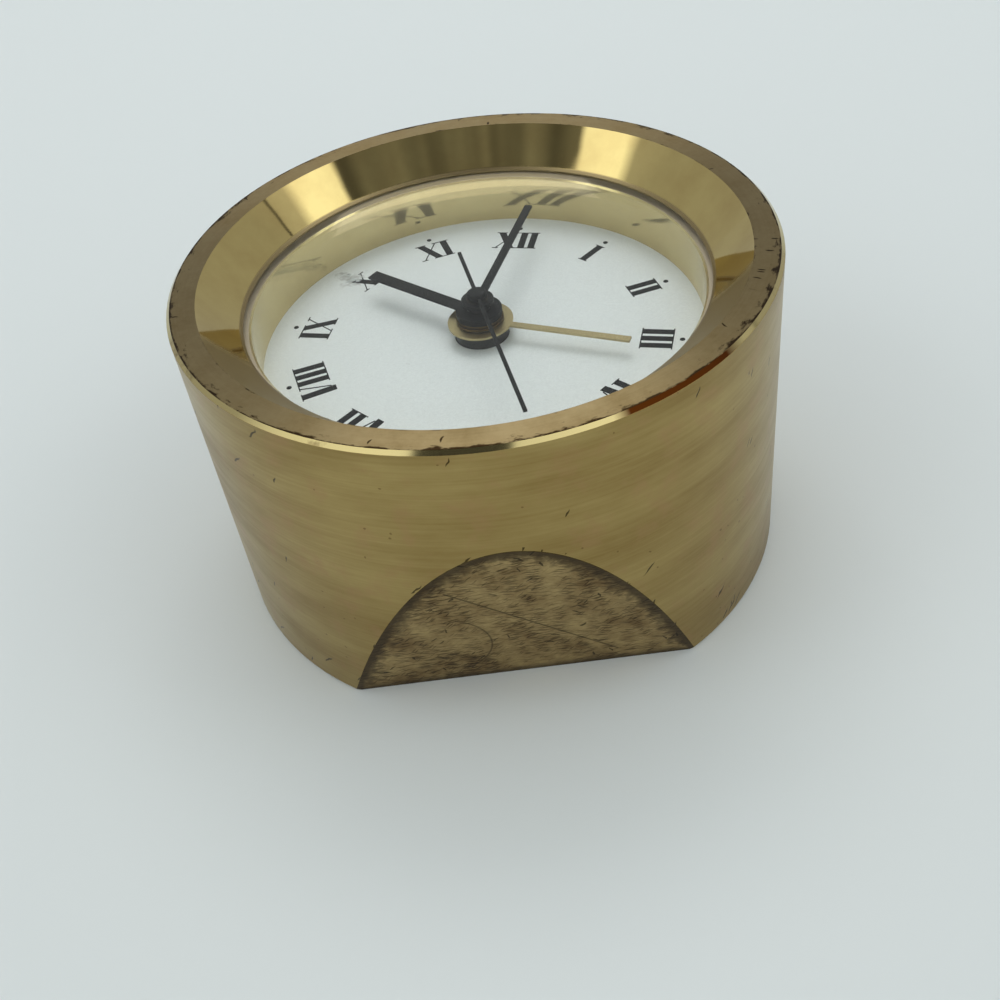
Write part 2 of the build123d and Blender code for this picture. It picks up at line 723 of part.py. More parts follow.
time_shaft = setting_shaft(set_place, SET_TEETH, minute_module, set_phase, minute_level)
finish(time_shaft, "time_shaft")
alarm_shaft = setting_shaft(alarm_set_place, ALARM_SET_TEETH, alarm_module, alarm_set_phase, alarm_level)
finish(alarm_shaft, "alarm_shaft")
time_knob = setting_knob(set_place)
finish(time_knob, "time_knob")
alarm_knob = setting_knob(alarm_set_place)
finish(alarm_knob, "alarm_knob")

# Hands
with BuildPart() as alarm_hand:
    with BuildSketch(hand_plane(dial_top + ALARM_RISE, ALARM_ANGLE)):
        blade(ALARM_LENGTH, ALARM_ROOT_WIDTH, ALARM_TIP_WIDTH)
        Circle(ALARM_DISC_RADIUS)
        Circle(ALARM_TUBE_RADIUS, mode=Mode.SUBTRACT)
    extrude(amount=HAND_THICKNESS)
finish(alarm_hand, "alarm_hand")

collet_floor = alarm_tube_top + LOOSE
with BuildPart() as hour_collet:
    with BuildSketch(level(collet_floor)):
        Circle(COLLET_RADIUS)
    extrude(amount=dial_top + HOUR_RISE - collet_floor)
    with BuildSketch(level(collet_floor)):
        Circle(COLLET_RADIUS + COLLET_LIP)
    extrude(amount=COLLET_LIP_HEIGHT)
    with BuildSketch(level(collet_floor)):
        Circle(HOUR_TUBE_RADIUS)
    extrude(amount=dial_top + HOUR_RISE - collet_floor, mode=Mode.SUBTRACT)
finish(hour_collet, "hour_collet")

with BuildPart() as hour_hand:
    with BuildSketch(hand_plane(dial_top + HOUR_RISE, HOUR_ANGLE)):
        blade(HOUR_LENGTH, HOUR_WIDTH, HOUR_WIDTH)
    extrude(amount=HAND_THICKNESS)
    with BuildSketch(hand_plane(dial_top + HOUR_RISE, HOUR_ANGLE)):
        Circle(HOUR_HUB_RADIUS)
    extrude(amount=HOUR_HUB_THICKNESS)
    with BuildSketch(hand_plane(dial_top + HOUR_RISE, HOUR_ANGLE)):
        Circle(HOUR_TUBE_RADIUS)
    extrude(amount=HOUR_HUB_THICKNESS - HAND_THICKNESS, mode=Mode.SUBTRACT)
    with BuildSketch(hand_plane(hour_tube_top, HOUR_ANGLE)):
        Circle(MINUTE_TUBE_RADIUS + RUN)
    extrude(amount=HAND_THICKNESS, mode=Mode.SUBTRACT)
finish(hour_hand, "hour_hand")

with BuildPart() as minute_hand:
    with BuildSketch(hand_plane(dial_top + MINUTE_RISE, MINUTE_ANGLE)):
        blade(MINUTE_LENGTH, MINUTE_WIDTH, MINUTE_WIDTH)
    extrude(amount=HAND_THICKNESS)
    with BuildSketch(hand_plane(dial_top + MINUTE_RISE, MINUTE_ANGLE)):
        Circle(MINUTE_HUB_RADIUS)
    extrude(amount=MINUTE_HUB_THICKNESS)
    with BuildSketch(hand_plane(dial_top + MINUTE_RISE, MINUTE_ANGLE)):
        Circle(MINUTE_TUBE_RADIUS)
    extrude(amount=MINUTE_HUB_THICKNESS, mode=Mode.SUBTRACT)
finish(minute_hand, "minute_hand")

with BuildPart() as second_hand:
    with BuildSketch(hand_plane(dial_top + SECOND_RISE, SECOND_ANGLE)):
        blade(SECOND_LENGTH, SECOND_WIDTH, SECOND_WIDTH, -SECOND_TAIL)
        Circle(SECOND_CAP_RADIUS)
        Circle(SECOND_ARBOR_RADIUS, mode=Mode.SUBTRACT)
    extrude(amount=HAND_THICKNESS)
    with BuildSketch(hand_plane(dial_top + SECOND_RISE + HAND_THICKNESS, SECOND_ANGLE)):
        Circle(SECOND_CAP_RADIUS)
    extrude(amount=SECOND_CAP_HEIGHT)
    cap_edge = second_hand.edges().filter_by(GeomType.CIRCLE).group_by(Axis.Z)[-1]
    chamfer(cap_edge, SECOND_CAP_HEIGHT / 2)
    with BuildSketch(hand_plane(minute_tube_top + RUN, SECOND_ANGLE)):
        Circle(SECOND_PIPE_RADIUS)
        Circle(SECOND_ARBOR_RADIUS, mode=Mode.SUBTRACT)
    extrude(amount=dial_top + SECOND_RISE - minute_tube_top - RUN)
finish(second_hand, "second_hand")

# Motor: stator on the train plate, core across its arms, bobbin and winding round the core
with BuildPart() as stator:
    with BuildSketch(level(train_top)):
        with Locations(((STATOR_LEFT + STATOR_END) / 2, STATOR_TOP - STATOR_ARM / 2)):
            Rectangle(STATOR_END - STATOR_LEFT, STATOR_ARM)
        body_height = STATOR_TOP + STATOR_RIGHT - STATOR_LEFT - STATOR_ARM
        with Locations(((STATOR_LEFT + STATOR_RIGHT) / 2, STATOR_TOP - body_height / 2)):
            Rectangle(STATOR_RIGHT - STATOR_LEFT, body_height)
        with Locations((STATOR_RIGHT - STATOR_ARM / 2, (STATOR_TOP - STATOR_DROP) / 2)):
            Rectangle(STATOR_ARM, STATOR_TOP + STATOR_DROP)
        with Locations(((STATOR_RIGHT + STATOR_END - STATOR_ARM) / 2, STATOR_ARM / 2 - STATOR_DROP)):
            Rectangle(STATOR_END - STATOR_RIGHT + STATOR_ARM, STATOR_ARM)
        with Locations(rotor_place):
            Circle(MAGNET_RADIUS + STATOR_GAP, mode=Mode.SUBTRACT)
            with PolarLocations(MAGNET_RADIUS + STATOR_GAP, 2, start_angle=ROTOR_ANGLE):
                Circle(STATOR_NOTCH, mode=Mode.SUBTRACT)
    extrude(amount=STATOR_THICKNESS)
finish(stator, "stator")

core_floor = train_top + STATOR_THICKNESS
core_middle = core_floor + CORE_THICKNESS / 2
with BuildPart() as coil_core:
    with BuildSketch(level(core_floor)):
        with Locations((COIL_X, coil_middle)):
            Rectangle(STATOR_ARM, coil_length + 2 * STATOR_ARM)
    extrude(amount=CORE_THICKNESS)
finish(coil_core, "coil_core")

coil_turned = Plane.XY.rotated((0, 0, -DIAL_TURN))


def coil_plane(along):
    """A plane across the coil at a distance along it."""
    spot = coil_turned.from_local_coords((COIL_X, along, core_middle))
    return Plane(origin=spot, x_dir=coil_turned.x_dir, z_dir=coil_turned.y_dir)


with BuildPart() as coil_bobbin:
    for flange_place in (coil_bottom, coil_top - COIL_FLANGE_THICKNESS):
        with BuildSketch(coil_plane(flange_place)):
            RectangleRounded(COIL_FLANGE, COIL_FLANGE, COIL_TUBE)
        extrude(amount=COIL_FLANGE_THICKNESS)
    with BuildSketch(coil_plane(coil_bottom)):
        Rectangle(STATOR_ARM + 2 * COIL_TUBE, CORE_THICKNESS + 2 * COIL_TUBE)
    extrude(amount=coil_length)
    with BuildSketch(coil_plane(coil_bottom)):
        Rectangle(STATOR_ARM, CORE_THICKNESS)
    extrude(amount=coil_length, mode=Mode.SUBTRACT)
finish(coil_bobbin, "coil_bobbin")

with BuildPart() as coil_winding:
    with BuildSketch(coil_plane(coil_bottom + COIL_FLANGE_THICKNESS)):
        Circle(WINDING_RADIUS)
        Rectangle(STATOR_ARM + 2 * COIL_TUBE, CORE_THICKNESS + 2 * COIL_TUBE, mode=Mode.SUBTRACT)
    extrude(amount=coil_length - 2 * COIL_FLANGE_THICKNESS)
finish(coil_winding, "coil_winding")

# Circuit
with BuildPart() as circuit_board:
    with BuildSketch(level(board_floor)):
        with Locations((0, slide_y)):
            Rectangle(BOARD_WIDTH, BOARD_DEPTH)
    extrude(amount=BOARD_THICKNESS)
finish(circuit_board, "circuit_board")

board_top = board_floor + BOARD_THICKNESS
with BuildPart() as clock_chip:
    with BuildSketch(level(board_top)):
        with Locations((BOARD_WIDTH / 4, slide_y)):
            RectangleRounded(CHIP_SIZE, CHIP_SIZE, CHIP_SIZE / 4)
    extrude(amount=CHIP_HEIGHT)
    chamfer(clock_chip.faces().sort_by(Axis.Z)[-1].edges(), CHIP_HEIGHT / 3)
finish(clock_chip, "clock_chip")

crystal_spot = coil_turned.from_local_coords((-BOARD_WIDTH / 3, slide_y, board_top + CRYSTAL_RADIUS))
crystal_plane = Plane(origin=crystal_spot, x_dir=coil_turned.y_dir, z_dir=coil_turned.x_dir)
with BuildPart() as quartz_crystal:
    with BuildSketch(crystal_plane):
        Circle(CRYSTAL_RADIUS)
    extrude(amount=CRYSTAL_LENGTH)
    chamfer(quartz_crystal.edges().filter_by(GeomType.CIRCLE), CRYSTAL_RADIUS / 6)
finish(quartz_crystal, "quartz_crystal")

with BuildPart() as buzzer_disc:
    with BuildSketch(level(bay_floor + BUZZER_SEAT, (buzzer_x, buzzer_y))):
        Circle(BUZZER_RADIUS)
    extrude(amount=BUZZER_THICKNESS)
    with BuildSketch(level(bay_floor + BUZZER_SEAT + BUZZER_THICKNESS, (buzzer_x, buzzer_y))):
        Circle(BUZZER_RADIUS - 2 * BUZZER_SEAT_WALL)
    extrude(amount=BUZZER_THICKNESS / 2)
finish(buzzer_disc, "buzzer_disc")

with BuildPart() as alarm_leaf:
    with BuildSketch(level(leaf_floor)):
        with Locations((0, (LEAF_POST_Y - LEAF_REACH) / 2)):
            Rectangle(LEAF_WIDTH, -LEAF_POST_Y - LEAF_REACH)
        with Locations((0, LEAF_POST_Y)):
            Circle(LEAF_POST_RADIUS)
    extrude(amount=LEAF_THICKNESS)
finish(alarm_leaf, "alarm_leaf")

# Cell, its contacts and its door
cell_axis_height = bay_floor + (CELL_DIAMETER + CELL_PLAY) / 2
cell_base = -(CELL_LENGTH + CELL_NUB_LENGTH) / 2


def cell_plane(along):
    """A plane across the cell at a distance along it."""
    spot = coil_turned.from_local_coords((along, CELL_Y, cell_axis_height))
    return Plane(origin=spot, x_dir=coil_turned.y_dir, z_dir=coil_turned.x_dir)


with BuildPart() as cell:
    with BuildSketch(cell_plane(cell_base)):
        Circle(CELL_DIAMETER / 2)
    extrude(amount=CELL_LENGTH)
    chamfer(cell.edges().filter_by(GeomType.CIRCLE), CELL_PLAY)
    with BuildSketch(cell_plane(cell_base + CELL_LENGTH)):
        Circle(CELL_NUB_RADIUS)
    extrude(amount=CELL_NUB_LENGTH)
finish(cell, "cell")

for contact_name, contact_start, contact_way in (
    ("minus_contact", -bay_inner_x / 2, 1),
    ("plus_contact", bay_inner_x / 2, -1),
):
    with BuildPart() as contact:
        with BuildSketch(cell_plane(contact_start)):
            Rectangle(CONTACT_WIDTH, CONTACT_WIDTH)
        extrude(amount=contact_way * CONTACT_THICKNESS)
        with BuildSketch(cell_plane(contact_start)):
            Circle(CELL_NUB_RADIUS)
        extrude(amount=contact_way * (CONTACT_ROOM - CONTACT_TOUCH), taper=10 * contact_way)
    finish(contact, contact_name)

with BuildPart() as battery_door:
    with BuildSketch(level(housing_floor)):
        with Locations((0, CELL_Y)):
            Rectangle(bay_inner_x - 2 * LOOSE, bay_inner_y - 2 * LOOSE)
    extrude(amount=HOUSING_WALL)
    with BuildSketch(level(housing_floor)):
        with Locations((0, CELL_Y + bay_inner_y / 2)):
            Rectangle(DOOR_NOTCH_WIDTH, 4 * DOOR_RIB)
        for rib in range(3):
            with Locations((0, CELL_Y + (1 - rib) * 2 * DOOR_RIB)):
                Rectangle(DOOR_NOTCH_WIDTH, DOOR_RIB / 2)
    extrude(amount=DOOR_NOTCH_DEPTH, mode=Mode.SUBTRACT)
finish(battery_door, "battery_door")

# Alarm slide at its off end
slide_place = (-SLIDE_TRAVEL / 2, slide_y)
with BuildPart() as alarm_slide:
    with BuildSketch(level(housing_floor - LOOSE, slide_place)):
        RectangleRounded(SLIDE_THUMB + SLIDE_NECK, SLIDE_THUMB_WIDTH, SLIDE_THUMB_WIDTH / 6)
    extrude(amount=-SLIDE_THUMB_HEIGHT / 2)
    with BuildSketch(level(housing_floor - LOOSE, slide_place)):
        RectangleRounded(SLIDE_THUMB, SLIDE_THUMB_WIDTH, SLIDE_THUMB_WIDTH / 6)
    extrude(amount=-SLIDE_THUMB_HEIGHT)
    with BuildSketch(level(housing_floor - LOOSE, slide_place)):
        Rectangle(SLIDE_NECK, SLIDE_NECK_WIDTH)
    extrude(amount=HOUSING_WALL + 2 * LOOSE)
    with BuildSketch(level(bay_floor + LOOSE, slide_place)):
        Rectangle(SLIDE_THUMB + SLIDE_NECK, SLIDE_THUMB_WIDTH)
    extrude(amount=SLIDE_PLATE_HEIGHT)
    with BuildSketch(level(bay_floor + LOOSE + SLIDE_PLATE_HEIGHT, slide_place)):
        Rectangle(SLIDE_NECK, SLIDE_NECK_WIDTH)
    extrude(amount=board_floor - bay_floor - SLIDE_PLATE_HEIGHT - 2 * LOOSE)
    ridge_gap = SLIDE_THUMB / (SLIDE_RIDGES + 1)
    with BuildSketch(level(housing_floor - LOOSE - SLIDE_THUMB_HEIGHT, slide_place)):
        for ridge in range(SLIDE_RIDGES):
            with Locations(((ridge - (SLIDE_RIDGES - 1) / 2) * ridge_gap, 0)):
                Rectangle(ridge_gap / 2, SLIDE_THUMB_WIDTH)
    extrude(amount=SLIDE_THUMB_HEIGHT / 4, mode=Mode.SUBTRACT)
finish(alarm_slide, "alarm_slide")
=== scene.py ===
"""Looks for a heavy round brass desk alarm clock that lies on its back with the dial up."""

import logging
import math
from dataclasses import dataclass
from enum import Enum
from functools import partial
from typing import Any, Callable

import bmesh
import bpy
from mathutils import Matrix, Quaternion, Vector


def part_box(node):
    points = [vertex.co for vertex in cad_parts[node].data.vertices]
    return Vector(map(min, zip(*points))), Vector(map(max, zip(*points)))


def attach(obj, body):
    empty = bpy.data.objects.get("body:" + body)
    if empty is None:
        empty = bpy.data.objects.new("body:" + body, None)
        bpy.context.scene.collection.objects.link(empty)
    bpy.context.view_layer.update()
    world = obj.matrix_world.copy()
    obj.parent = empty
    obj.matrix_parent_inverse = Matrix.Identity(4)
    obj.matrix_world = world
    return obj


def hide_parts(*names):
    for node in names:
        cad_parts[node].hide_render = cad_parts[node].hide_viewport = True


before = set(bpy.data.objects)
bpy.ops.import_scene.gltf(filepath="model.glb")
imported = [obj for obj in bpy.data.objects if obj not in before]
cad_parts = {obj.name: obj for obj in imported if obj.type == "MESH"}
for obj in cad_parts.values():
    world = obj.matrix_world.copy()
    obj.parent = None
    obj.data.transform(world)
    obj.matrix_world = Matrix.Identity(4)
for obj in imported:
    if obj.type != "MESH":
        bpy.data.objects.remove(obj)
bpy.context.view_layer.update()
LOG = logging.getLogger("desk_clock")
MM = 0.001
# A Mix node's settings for colours, with the output that they use.
COLOUR: dict[str, Any] = {"out": 2, "data_type": "RGBA"}

Material = bpy.types.Material
Piece = bpy.types.Object
Adder = Callable[..., Any]
Pair = tuple[float, float]
Triple = tuple[float, float, float]
Fade = tuple[Pair, Pair]
Edges = tuple[float, float, float, float]
Stroke = list[Pair]


# The numeral printed at each hour, counted from one.
Roman = Enum("Roman", "I II III IV V VI VII VIII IX X XI XII")


def linear(code: str) -> tuple[float, float, float, float]:
    """Turn an sRGB hex colour into linear values.

    Args:
        code: A hash and six hex digits.

    Returns:
        Red, green, blue and an alpha of one.
    """
    parts = [int(code[i : i + 2], 16) / 255 for i in (1, 3, 5)]
    lit = [p / 12.92 if p <= 0.04045 else ((p + 0.055) / 1.055) ** 2.4 for p in parts]
    return (*lit, 1.0)


def metres(*sizes_mm: float) -> tuple[float, ...]:
    """Turn sizes in millimetres into metres."""
    return tuple(size * MM for size in sizes_mm)


def between(value: Any, edges: Any, levels: Any = (0.0, 1.0), unit: float = 1.0) -> list[Any]:
    """List the inputs that take a value from two edges to two levels.

    Args:
        value: The value's socket.
        edges: The two values that stand for the levels.
        levels: What they turn into.
        unit: The edges' unit, one or MM.

    Returns:
        The inputs of a Map Range node.
    """
    return [value, *(edge * unit for edge in edges), *levels]


def add_node(
    tree: bpy.types.NodeTree, kind: str, links: Any = (), out: int | str = 0, **settings: Any
) -> Any:
    """Add a node with its settings, and link or set its inputs.

    Args:
        tree: The node tree that takes the node.
        kind: The node's type name after "ShaderNode", with any operation after a colon.
        links: Inputs in order, or by name or number: a socket to link from, or a value.
        out: The output to hand back.
        settings: Properties of the node.

    Returns:
        The wanted output, or nothing for a node without outputs.
    """
    kind, _, operation = kind.partition(":")
    node = tree.nodes.new("ShaderNode" + kind)
    if operation:
        node.operation = operation
    for name, value in settings.items():
        setattr(node, name, value)
    for key, value in links.items() if isinstance(links, dict) else enumerate(links):
        if isinstance(value, bpy.types.NodeSocket):
            tree.links.new(value, node.inputs[key])
        else:
            node.inputs[key].default_value = value
    return node.outputs[out] if node.outputs else None


def new_material(name: str) -> tuple[Material, Adder, Any]:
    """Make an empty node material.

    Args:
        name: The finish's name.

    Returns:
        The material, what adds a node to it, and the place on its surface.
    """
    material = bpy.data.materials.new(name)
    material.use_nodes = True
    material.node_tree.nodes.clear()
    add = partial(add_node, material.node_tree)
    return material, add, add("TexCoord", out="Object")


def coated(add: Adder, base: str, coats: list[tuple[Any, str]]) -> Any:
    """Lay coats of colour over one another.

    Args:
        add: Adds a node to the finish.
        base: The colour at the bottom.
        coats: Each coat's share of the surface, and its colour.

    Returns:
        The colour on top.
    """
    colour: Any = linear(base)
    for share, tone in coats:
        colour = add("Mix", {0: share, 6: colour, 7: linear(tone)}, **COLOUR)
    return colour


def within(add: Adder, value: Any, edges: Any) -> Any:
    """Mark out a stretch.

    Args:
        add: Adds a node to the finish or room.
        value: What is measured.
        edges: Where the stretch starts to come in, is in, starts to go out and is out.

    Returns:
        One inside the stretch and nought outside it.
    """
    begin = add("MapRange", between(value, edges[:2]))
    end = add("MapRange", between(value, edges[2:], (1.0, 0.0)))
    return add("Math:MULTIPLY", [begin, end])


def dress(material: Material, *nodes: str) -> None:
    """Give CAD nodes one material.

    Args:
        material: The finish.
        nodes: The nodes' names.
    """
    for node in nodes:
        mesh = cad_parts[node].data
        mesh.materials.clear()
        mesh.materials.append(material)


def deselect() -> None:
    """Leave nothing selected."""
    bpy.ops.object.select_all(action="DESELECT")


@dataclass(frozen=True)
class Cloud:
    """A cloudy pattern of a real size.

    Its patches lie size_mm apart, with detail finer layers of strength crumble. At its edges it
    takes its levels.
    """

    size_mm: float | Triple
    detail: float = 2.0
    crumble: float = 0.5
    edges: Pair = (0.0, 1.0)
    levels: Pair = (0.0, 1.0)

    def height(self, add: Adder, where: Any) -> Any:
        """Draw the pattern as it is.

        Args:
            add: Adds a node to the finish.
            where: The place on the surface, in metres.

        Returns:
            The pattern's height, a half on average.
        """
        sizes = self.size_mm if isinstance(self.size_mm, tuple) else (self.size_mm,) * 3
        scale = [1 / size for size in metres(*sizes)]
        spaced = add("Mapping", {0: where, "Scale": scale})
        grain = {"Scale": 1.0, "Detail": self.detail, "Roughness": self.crumble}
        return add("TexNoise", {"Vector": spaced, **grain})

    def graded(self, add: Adder, height: Any) -> Any:
        """Take a height, with what was added to it, to the pattern's levels."""
        return add("MapRange", between(height, self.edges, self.levels))

    def draw(self, add: Adder, where: Any) -> Any:
        """Draw the pattern and take it to its levels."""
        return self.graded(add, self.height(add, where))


@dataclass(frozen=True)
class Scratches:
    """Short wobbly scratches scattered over a flat layout.

    They lean by an angle in radians, lie cell_mm apart along and across, reach size times that
    from their middles, and leave a share of the cells bare. Each strays wobble_mm in waves of
    wave_mm and is solid over a share of its width.
    """

    lean: float
    cell_mm: Pair
    size: float
    bare: float = 0.0
    wobble_mm: float = 0.7
    wave_mm: float = 1.111
    solid: float = 0.6
    depth: float = 1.0

    def draw(self, add: Adder, sheet: Any, bare: Any = None) -> Any:
        """Draw the scratches.

        Args:
            add: Adds a node to the finish.
            sheet: The surface laid out flat, in metres.
            bare: The share of cells left bare, where it differs from place to place.

        Returns:
            The share of the surface that is scratched.
        """
        waves = {"Vector": sheet, "Scale": 1 / (self.wave_mm * MM), "Detail": 1.0}
        wave = add("TexNoise", waves, "Color")
        wave = add("VectorMath:SUBTRACT", [wave, (0.5, 0.5, 0.5)])
        wave = add("VectorMath:SCALE", {0: wave, "Scale": self.wobble_mm * MM})
        bent = add("VectorMath:ADD", [sheet, wave])
        turned = add("Mapping", {0: bent, "Rotation": (0, 0, self.lean)})
        step = [1 / size for size in metres(*self.cell_mm)] + [1.0]
        cells = {"Vector": add("Mapping", {0: turned, "Scale": step}), "Scale": 1.0}
        spots = add("TexVoronoi", cells, voronoi_dimensions="2D").node.outputs
        width = (self.size * self.solid, self.size)
        near = add("MapRange", between(spots["Distance"], width, (self.depth, 0.0)))
        pick = add("SeparateXYZ", [spots["Color"]])
        kept = add("Math:GREATER_THAN", [pick, self.bare if bare is None else bare])
        return add("Math:MULTIPLY", [near, kept])


@dataclass(frozen=True)
class CasePoint:
    """Where a point of the case lies, as sockets in metres.

    The sheet is the case laid out flat: along its edge from the front, up its side, and out from
    the middle. The depth is how far the point lies outside the foot flat.
    """

    add: Adder
    place: Any
    x: Any
    z: Any
    radius: Any
    along: Any
    sheet: Any
    depth: Any


@dataclass(frozen=True)
class CaseBrass:
    """Turned brass bar under worn lacquer.

    It gives a satin side, a brown pitted rim, a bright bevel and a scuffed foot flat.
    """

    metal: str = "#AC9660"
    deep: str = "#937B49"
    blush: str = "#A6845A"
    speck: str = "#6A5231"
    rim_metal: str = "#A6926A"
    bright: str = "#BFAE7A"
    tarnish: str = "#8E7A53"
    rust: str = "#452208"
    dirt: str = "#241A0E"
    flat_metal: str = "#B8A06E"
    flat_brown: str = "#836A42"
    streak: str = "#3C2B16"
    border: str = "#3A2C1A"
    radius_mm: float = 40.0
    rim_height_mm: float = 45.52
    bevel_mm: float = 39.52
    back_mm: float = 0.05
    foot_angle: float = 13.8
    foot_reach_mm: float = 30.2
    foot_skin_mm: float = 0.03
    # Side: turning lines, drifting shade and blushes; nicks gather toward the edges.
    turning: Cloud = Cloud((33.33, 33.33, 0.4), 4.0, 0.65)
    turning_share: float = 0.36
    drift: Cloud = Cloud((28.57, 28.57, 8.333), 7.0, 0.62, (0.53, 0.84))
    flush: Cloud = Cloud(4.167, 4.0, 0.6, (0.52, 0.68), (0.0, 0.5))
    side_rough: Fade = ((0.47, 0.9), (0.27, 0.38))
    nicks: tuple[Scratches, ...] = (
        Scratches(-0.75, (9.0, 1.3), 0.15, depth=0.8),
        Scratches(-1.2, (5.0, 1.0), 0.15, depth=0.8),
    )
    nick_bare: float = 0.98
    nick_bands: tuple[Fade, ...] = (
        ((38.0, 45.5), (0.0, 0.03)),
        ((0.0, 6.0), (0.08, 0.0)),
    )
    foot_band: Fade = ((-0.25, 0.0), (0.0, 0.3))
    scuff_angles: Edges = (43.0, 46.0, 54.0, 58.0)
    scuff_band: Fade = ((1.5, 5.0), (0.75, 0.0))
    spots: Scratches = Scratches(0.2, (1.6, 1.3), 0.13, 0.95, depth=0.6)
    # Rim: turning lines under brown bloom; pits gather toward both edges.
    rim_lines: Cloud = Cloud((25.0, 25.0, 0.2857), 3.0)
    rim_line_share: float = 0.2
    bloom: Cloud = Cloud(5.263, 7.0, 0.68, (0.45, 0.8))
    pits: Cloud = Cloud((2.381, 2.381, 0.9091), 5.0, 0.68, (0.67, 0.79))
    pit_bands: tuple[Fade, ...] = (
        ((37.6, 39.6), (-0.05, 0.2)),
        ((36.2, 36.6), (0.2, 0.0)),
        ((39.15, 39.45), (0.0, 0.12)),
    )
    rim_scratch: Scratches = Scratches(1.25, (3.4, 1.1), 0.16, 0.965)
    rim_group: Scratches = Scratches(1.45, (2.6, 0.7), 0.24, 0.72, 0.3)
    group_angles: Edges = (62.0, 65.0, 80.0, 83.0)
    rim_rough: Fade = ((0.4, 0.8), (0.3, 0.4))
    rim_stretch: float = 0.8
    stretch_turn: float = 0.25
    # Bevel: kept bright by handling, with red-brown tarnish left in stretches.
    red: Cloud = Cloud(11.11, 6.0, 0.7, (0.55, 0.68), (0.0, 0.8))
    rust_angles: Edges = (20.0, 23.0, 44.0, 49.0)
    bevel_rough: float = 0.1
    # Foot flat: fine scratches from sliding on a shelf run mostly one way and lie in patches.
    stain: Cloud = Cloud(6.667, 9.0, 0.7, (0.40, 0.62))
    hatch: tuple[tuple[Scratches, Cloud], ...] = tuple(
        (Scratches(lean, cell, 0.37, bare, 0.22), Cloud(size, 4.0, 0.5, (0.4, 0.62), (0.15, most)))
        for lean, cell, bare, size, most in (
            (0.04, (3.0, 0.3), 0.45, 9.091, 0.9),
            (-0.3, (2.6, 0.32), 0.5, 7.143, 0.9),
            (0.25, (2.4, 0.28), 0.6, 5.882, 0.8),
            (-0.85, (2.0, 0.3), 0.8, 6.667, 0.8),
        )
    )
    ragged: Cloud = Cloud(1.111, 3.0, 0.5, (0.3, 0.7), (0.8 * MM, 2.4 * MM))
    border_fade: Fade = ((0.4, 1.6), (0.85, 0.0))
    # Painted shade darkens the toe where the flat meets the floor.
    toe_shade_band: Fade = ((0.2, 1.6), (0.8, 0.0))
    cuts: tuple[Scratches, ...] = (
        Scratches(0.5, (6.0, 1.0), 0.15, 0.93, depth=0.8),
        Scratches(-0.75, (4.5, 0.9), 0.15, 0.94, depth=0.8),
        Scratches(1.35, (5.0, 1.2), 0.13, 0.93, depth=0.8),
    )
    line_mm: tuple[Triple, Triple] = ((-8.2, 0.0, 22.7), (12.8, 0.0, 3.0))
    line_band: Fade = ((0.06, 0.2), (0.64, 0.0))
    bow_middle_mm: Triple = (-11.0, 0.0, 9.2)
    bow_radius_mm: float = 7.4
    bow_left_mm: float = -7.6
    bow_band: Fade = ((0.05, 0.17), (0.56, 0.0))
    flat_rough: float = 0.45

    def point(self, add: Adder, place: Any) -> CasePoint:
        """Work out where a point of the case lies.

        Args:
            add: Adds a node to the finish.
            place: The place on the surface.

        Returns:
            The point.
        """
        x, y, z = add("SeparateXYZ", [place]).node.outputs
        level = add("VectorMath:MULTIPLY", [place, (1, 1, 0)])
        radius = add("VectorMath:LENGTH", [level], 1)
        back = add("Math:MULTIPLY", [y, -1.0])
        angle = add("Math:ARCTAN2", [x, back])
        along = add("Math:MULTIPLY", [angle, self.radius_mm * MM])
        sheet = add("CombineXYZ", [along, z, radius])
        # The back face has no height to lay out, so its marks follow the plain place.
        on_back = add("Math:LESS_THAN", [z, self.back_mm * MM])
        sheet = add("Mix", {0: on_back, 4: sheet, 5: place}, 1, data_type="VECTOR")
        turn = math.radians(self.foot_angle)
        facing = (0, -math.cos(turn), -math.sin(turn))
        reach = self.radius_mm * math.cos(turn) - self.foot_reach_mm * math.sin(turn)
        depth = add("VectorMath:DOT_PRODUCT", [place, facing], 1)
        depth = add("Math:SUBTRACT", [depth, reach * MM])
        return CasePoint(add, place, x, z, radius, along, sheet, depth)

    def gathered(self, add: Adder, share: Any, way: Any, bands: tuple[Fade, ...]) -> Any:
        """Add to a share in bands of the case.

        Args:
            add: Adds a node to the finish.
            share: What is there already.
            way: The distance that the bands are measured along, in metres.
            bands: Each band's two ends in mm, and what is added at them.

        Returns:
            The new share.
        """
        for band in bands:
            more = add("MapRange", between(way, *band, MM))
            share = add("Math:ADD", [share, more])
        return share

    def stretch(self, at: CasePoint, angles: Edges) -> Any:
        """Mark out a stretch of the round case between angles from the front."""
        arc = self.radius_mm * MM * math.pi / 180
        return within(at.add, at.along, [angle * arc for angle in angles])

    def side(self, at: CasePoint) -> list[Any]:
        """Colour the satin side.

        Args:
            at: The point.

        Returns:
            Colour, roughness, nick share and turning lines.
        """
        add = at.add
        lines = self.turning.height(add, at.place)
        drift = self.drift.height(add, at.place)
        mixed = add("Math:MULTIPLY_ADD", [lines, self.turning_share, drift])
